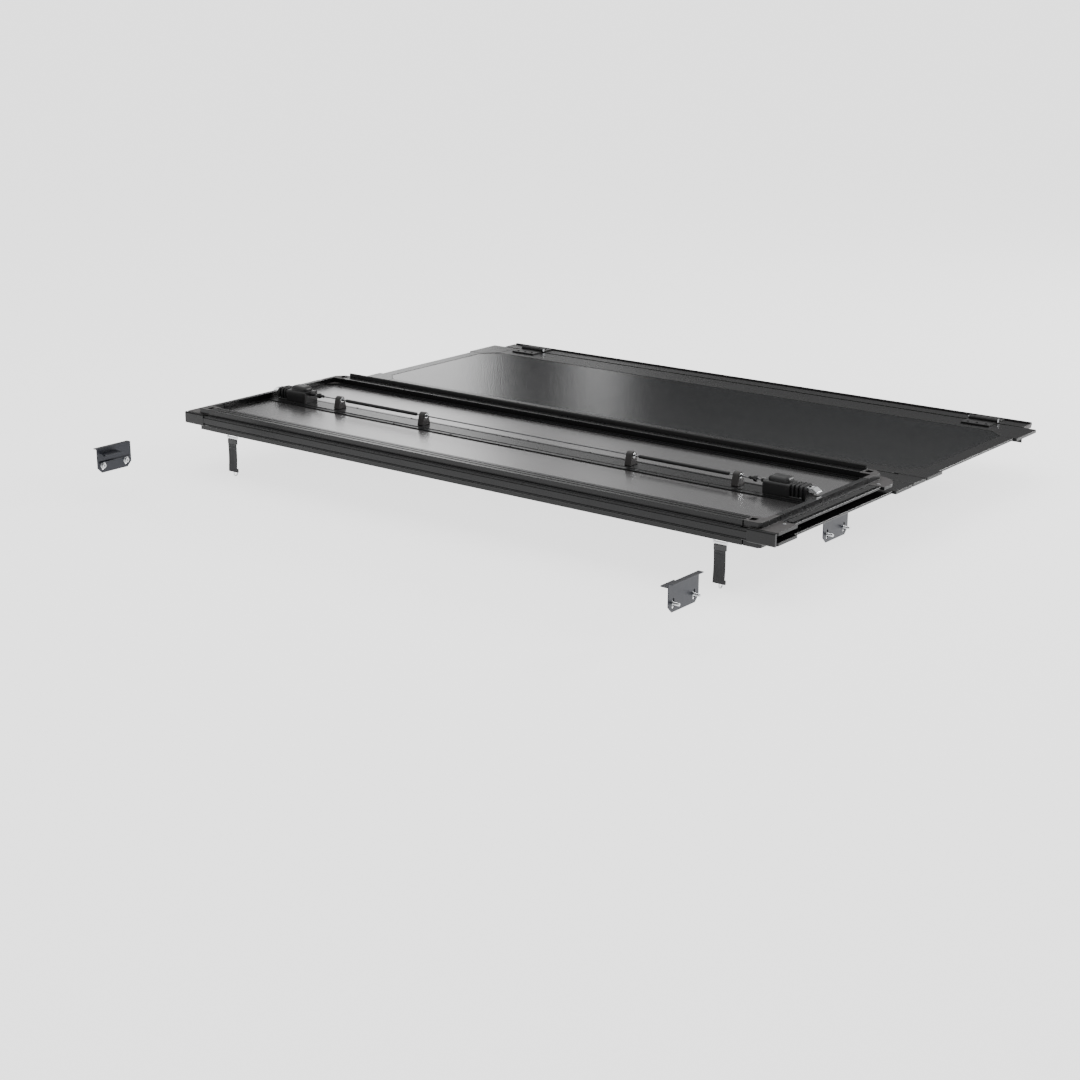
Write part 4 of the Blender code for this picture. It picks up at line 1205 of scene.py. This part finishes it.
def strap_web(x, y, top, length):
    """Hanging webbing, swayed and cupped a little, from top down."""
    shape = bmesh.new()
    grid = []
    for row in range(STRAP_ROWS + 1):
        share = row / STRAP_ROWS
        sway = STRAP_SWAY * math.sin(share * math.pi * 1.4) * share
        line = []
        for column in range(STRAP_COLUMNS + 1):
            across = column / STRAP_COLUMNS - 0.5
            cup = STRAP_CUP * math.sin(share * math.pi) * (1 - 4 * across * across)
            line.append(shape.verts.new((x + across * STRAP_WIDTH, y + sway + cup - STRAP_THICK / 2,
                                         top - length * share)))
        grid.append(line)
    for upper, lower in zip(grid, grid[1:]):
        for place in range(STRAP_COLUMNS):
            shape.faces.new((upper[place], upper[place + 1], lower[place + 1], lower[place]))
    shape.normal_update()
    bmesh.ops.solidify(shape, geom=shape.faces[:], thickness=STRAP_THICK)
    return shape


def hold_down_strap(word):
    """Webbing crimped at its loop and stitched below it, with a clasp and a wire hook at its end."""
    low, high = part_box(f"strap_{word}")
    x = (low.x + high.x) / 2
    y = (low.y + high.y) / 2
    body = "middle_panel"
    shape = strap_web(x, y, high.z - STRAP_DROP, high.z - low.z - STRAP_FITTINGS)
    web = piece(f"hold_down_strap_{word}", body, "webbing", shape, bevel=0.0003, stands_for=[f"strap_{word}"])
    stitch_x = (x - STRAP_WIDTH / 2 + STITCH_INSET, x + STRAP_WIDTH / 2 - STITCH_INSET)
    for number, drop in enumerate(STITCH_DROPS):
        z = high.z - drop
        seam = rectangle(*stitch_x, z - STITCH_HALF_TALL, z + STITCH_HALF_TALL)
        piece(f"strap_stitch_{word}_{number}", body, "cable",
              prism("Y", y - STITCH_HALF_DEEP, y + STITCH_HALF_DEEP, seam), bevel=0.0003)
    hook = arc((y + HOOK_RADIUS, low.z + HOOK_RISE), HOOK_RADIUS, 180, 430, 16)
    wire = [(x, y, low.z + HOOK_TOP)] + [(x, hook_y, hook_z) for hook_y, hook_z in hook]
    wire_curve(f"strap_hook_{word}", body, "zinc", wire, HOOK_WIRE)
    half = STRAP_WIDTH / 2 + FITTING_PROUD
    clasp_plan = rectangle(x - half, x + half, low.z + CLASP_Z[0], low.z + CLASP_Z[1])
    clasp = prism("Y", y + CLASP_Y[0], y + CLASP_Y[1], clasp_plan)
    piece(f"strap_clasp_{word}", body, "moulded", clasp, bevel=0.0006)
    crimp_plan = rectangle(x - half, x + half, high.z - CRIMP_LOW, high.z - STRAP_DROP)
    crimp = prism("Y", y - CRIMP_HALF_DEEP, y + CRIMP_HALF_DEEP, crimp_plan)
    piece(f"strap_crimp_{word}", body, "clamp", crimp, bevel=0.0007)
    refined(f"strap_loop_{word}", f"footman_loop_{word}", "zinc", 0.0004)


def prop_rods():
    for word, _ in SIDES:
        refined(f"prop_rod_{word}", f"prop_bar_{word}", "rod", 0.0003)
        refined(f"prop_rod_mount_{word}", f"prop_bar_mount_{word}", "moulded", 0.0003)


def build():
    add_studio()
    panels = make_panels()
    for panel in panels:
        panel_pieces(panel)
    for panel in panels[1:]:
        latch_set(panel)
    hinge_strips()
    header()
    lift_hinges()
    clamps()
    for word, side in SIDES:
        striker("middle", word, side)
        striker("rear", word, side)
        hold_down_strap(word)
    prop_rods()
    refined("tailgate_seal", "tailgate_lip_seal", "rubber", 0.0003)


build()
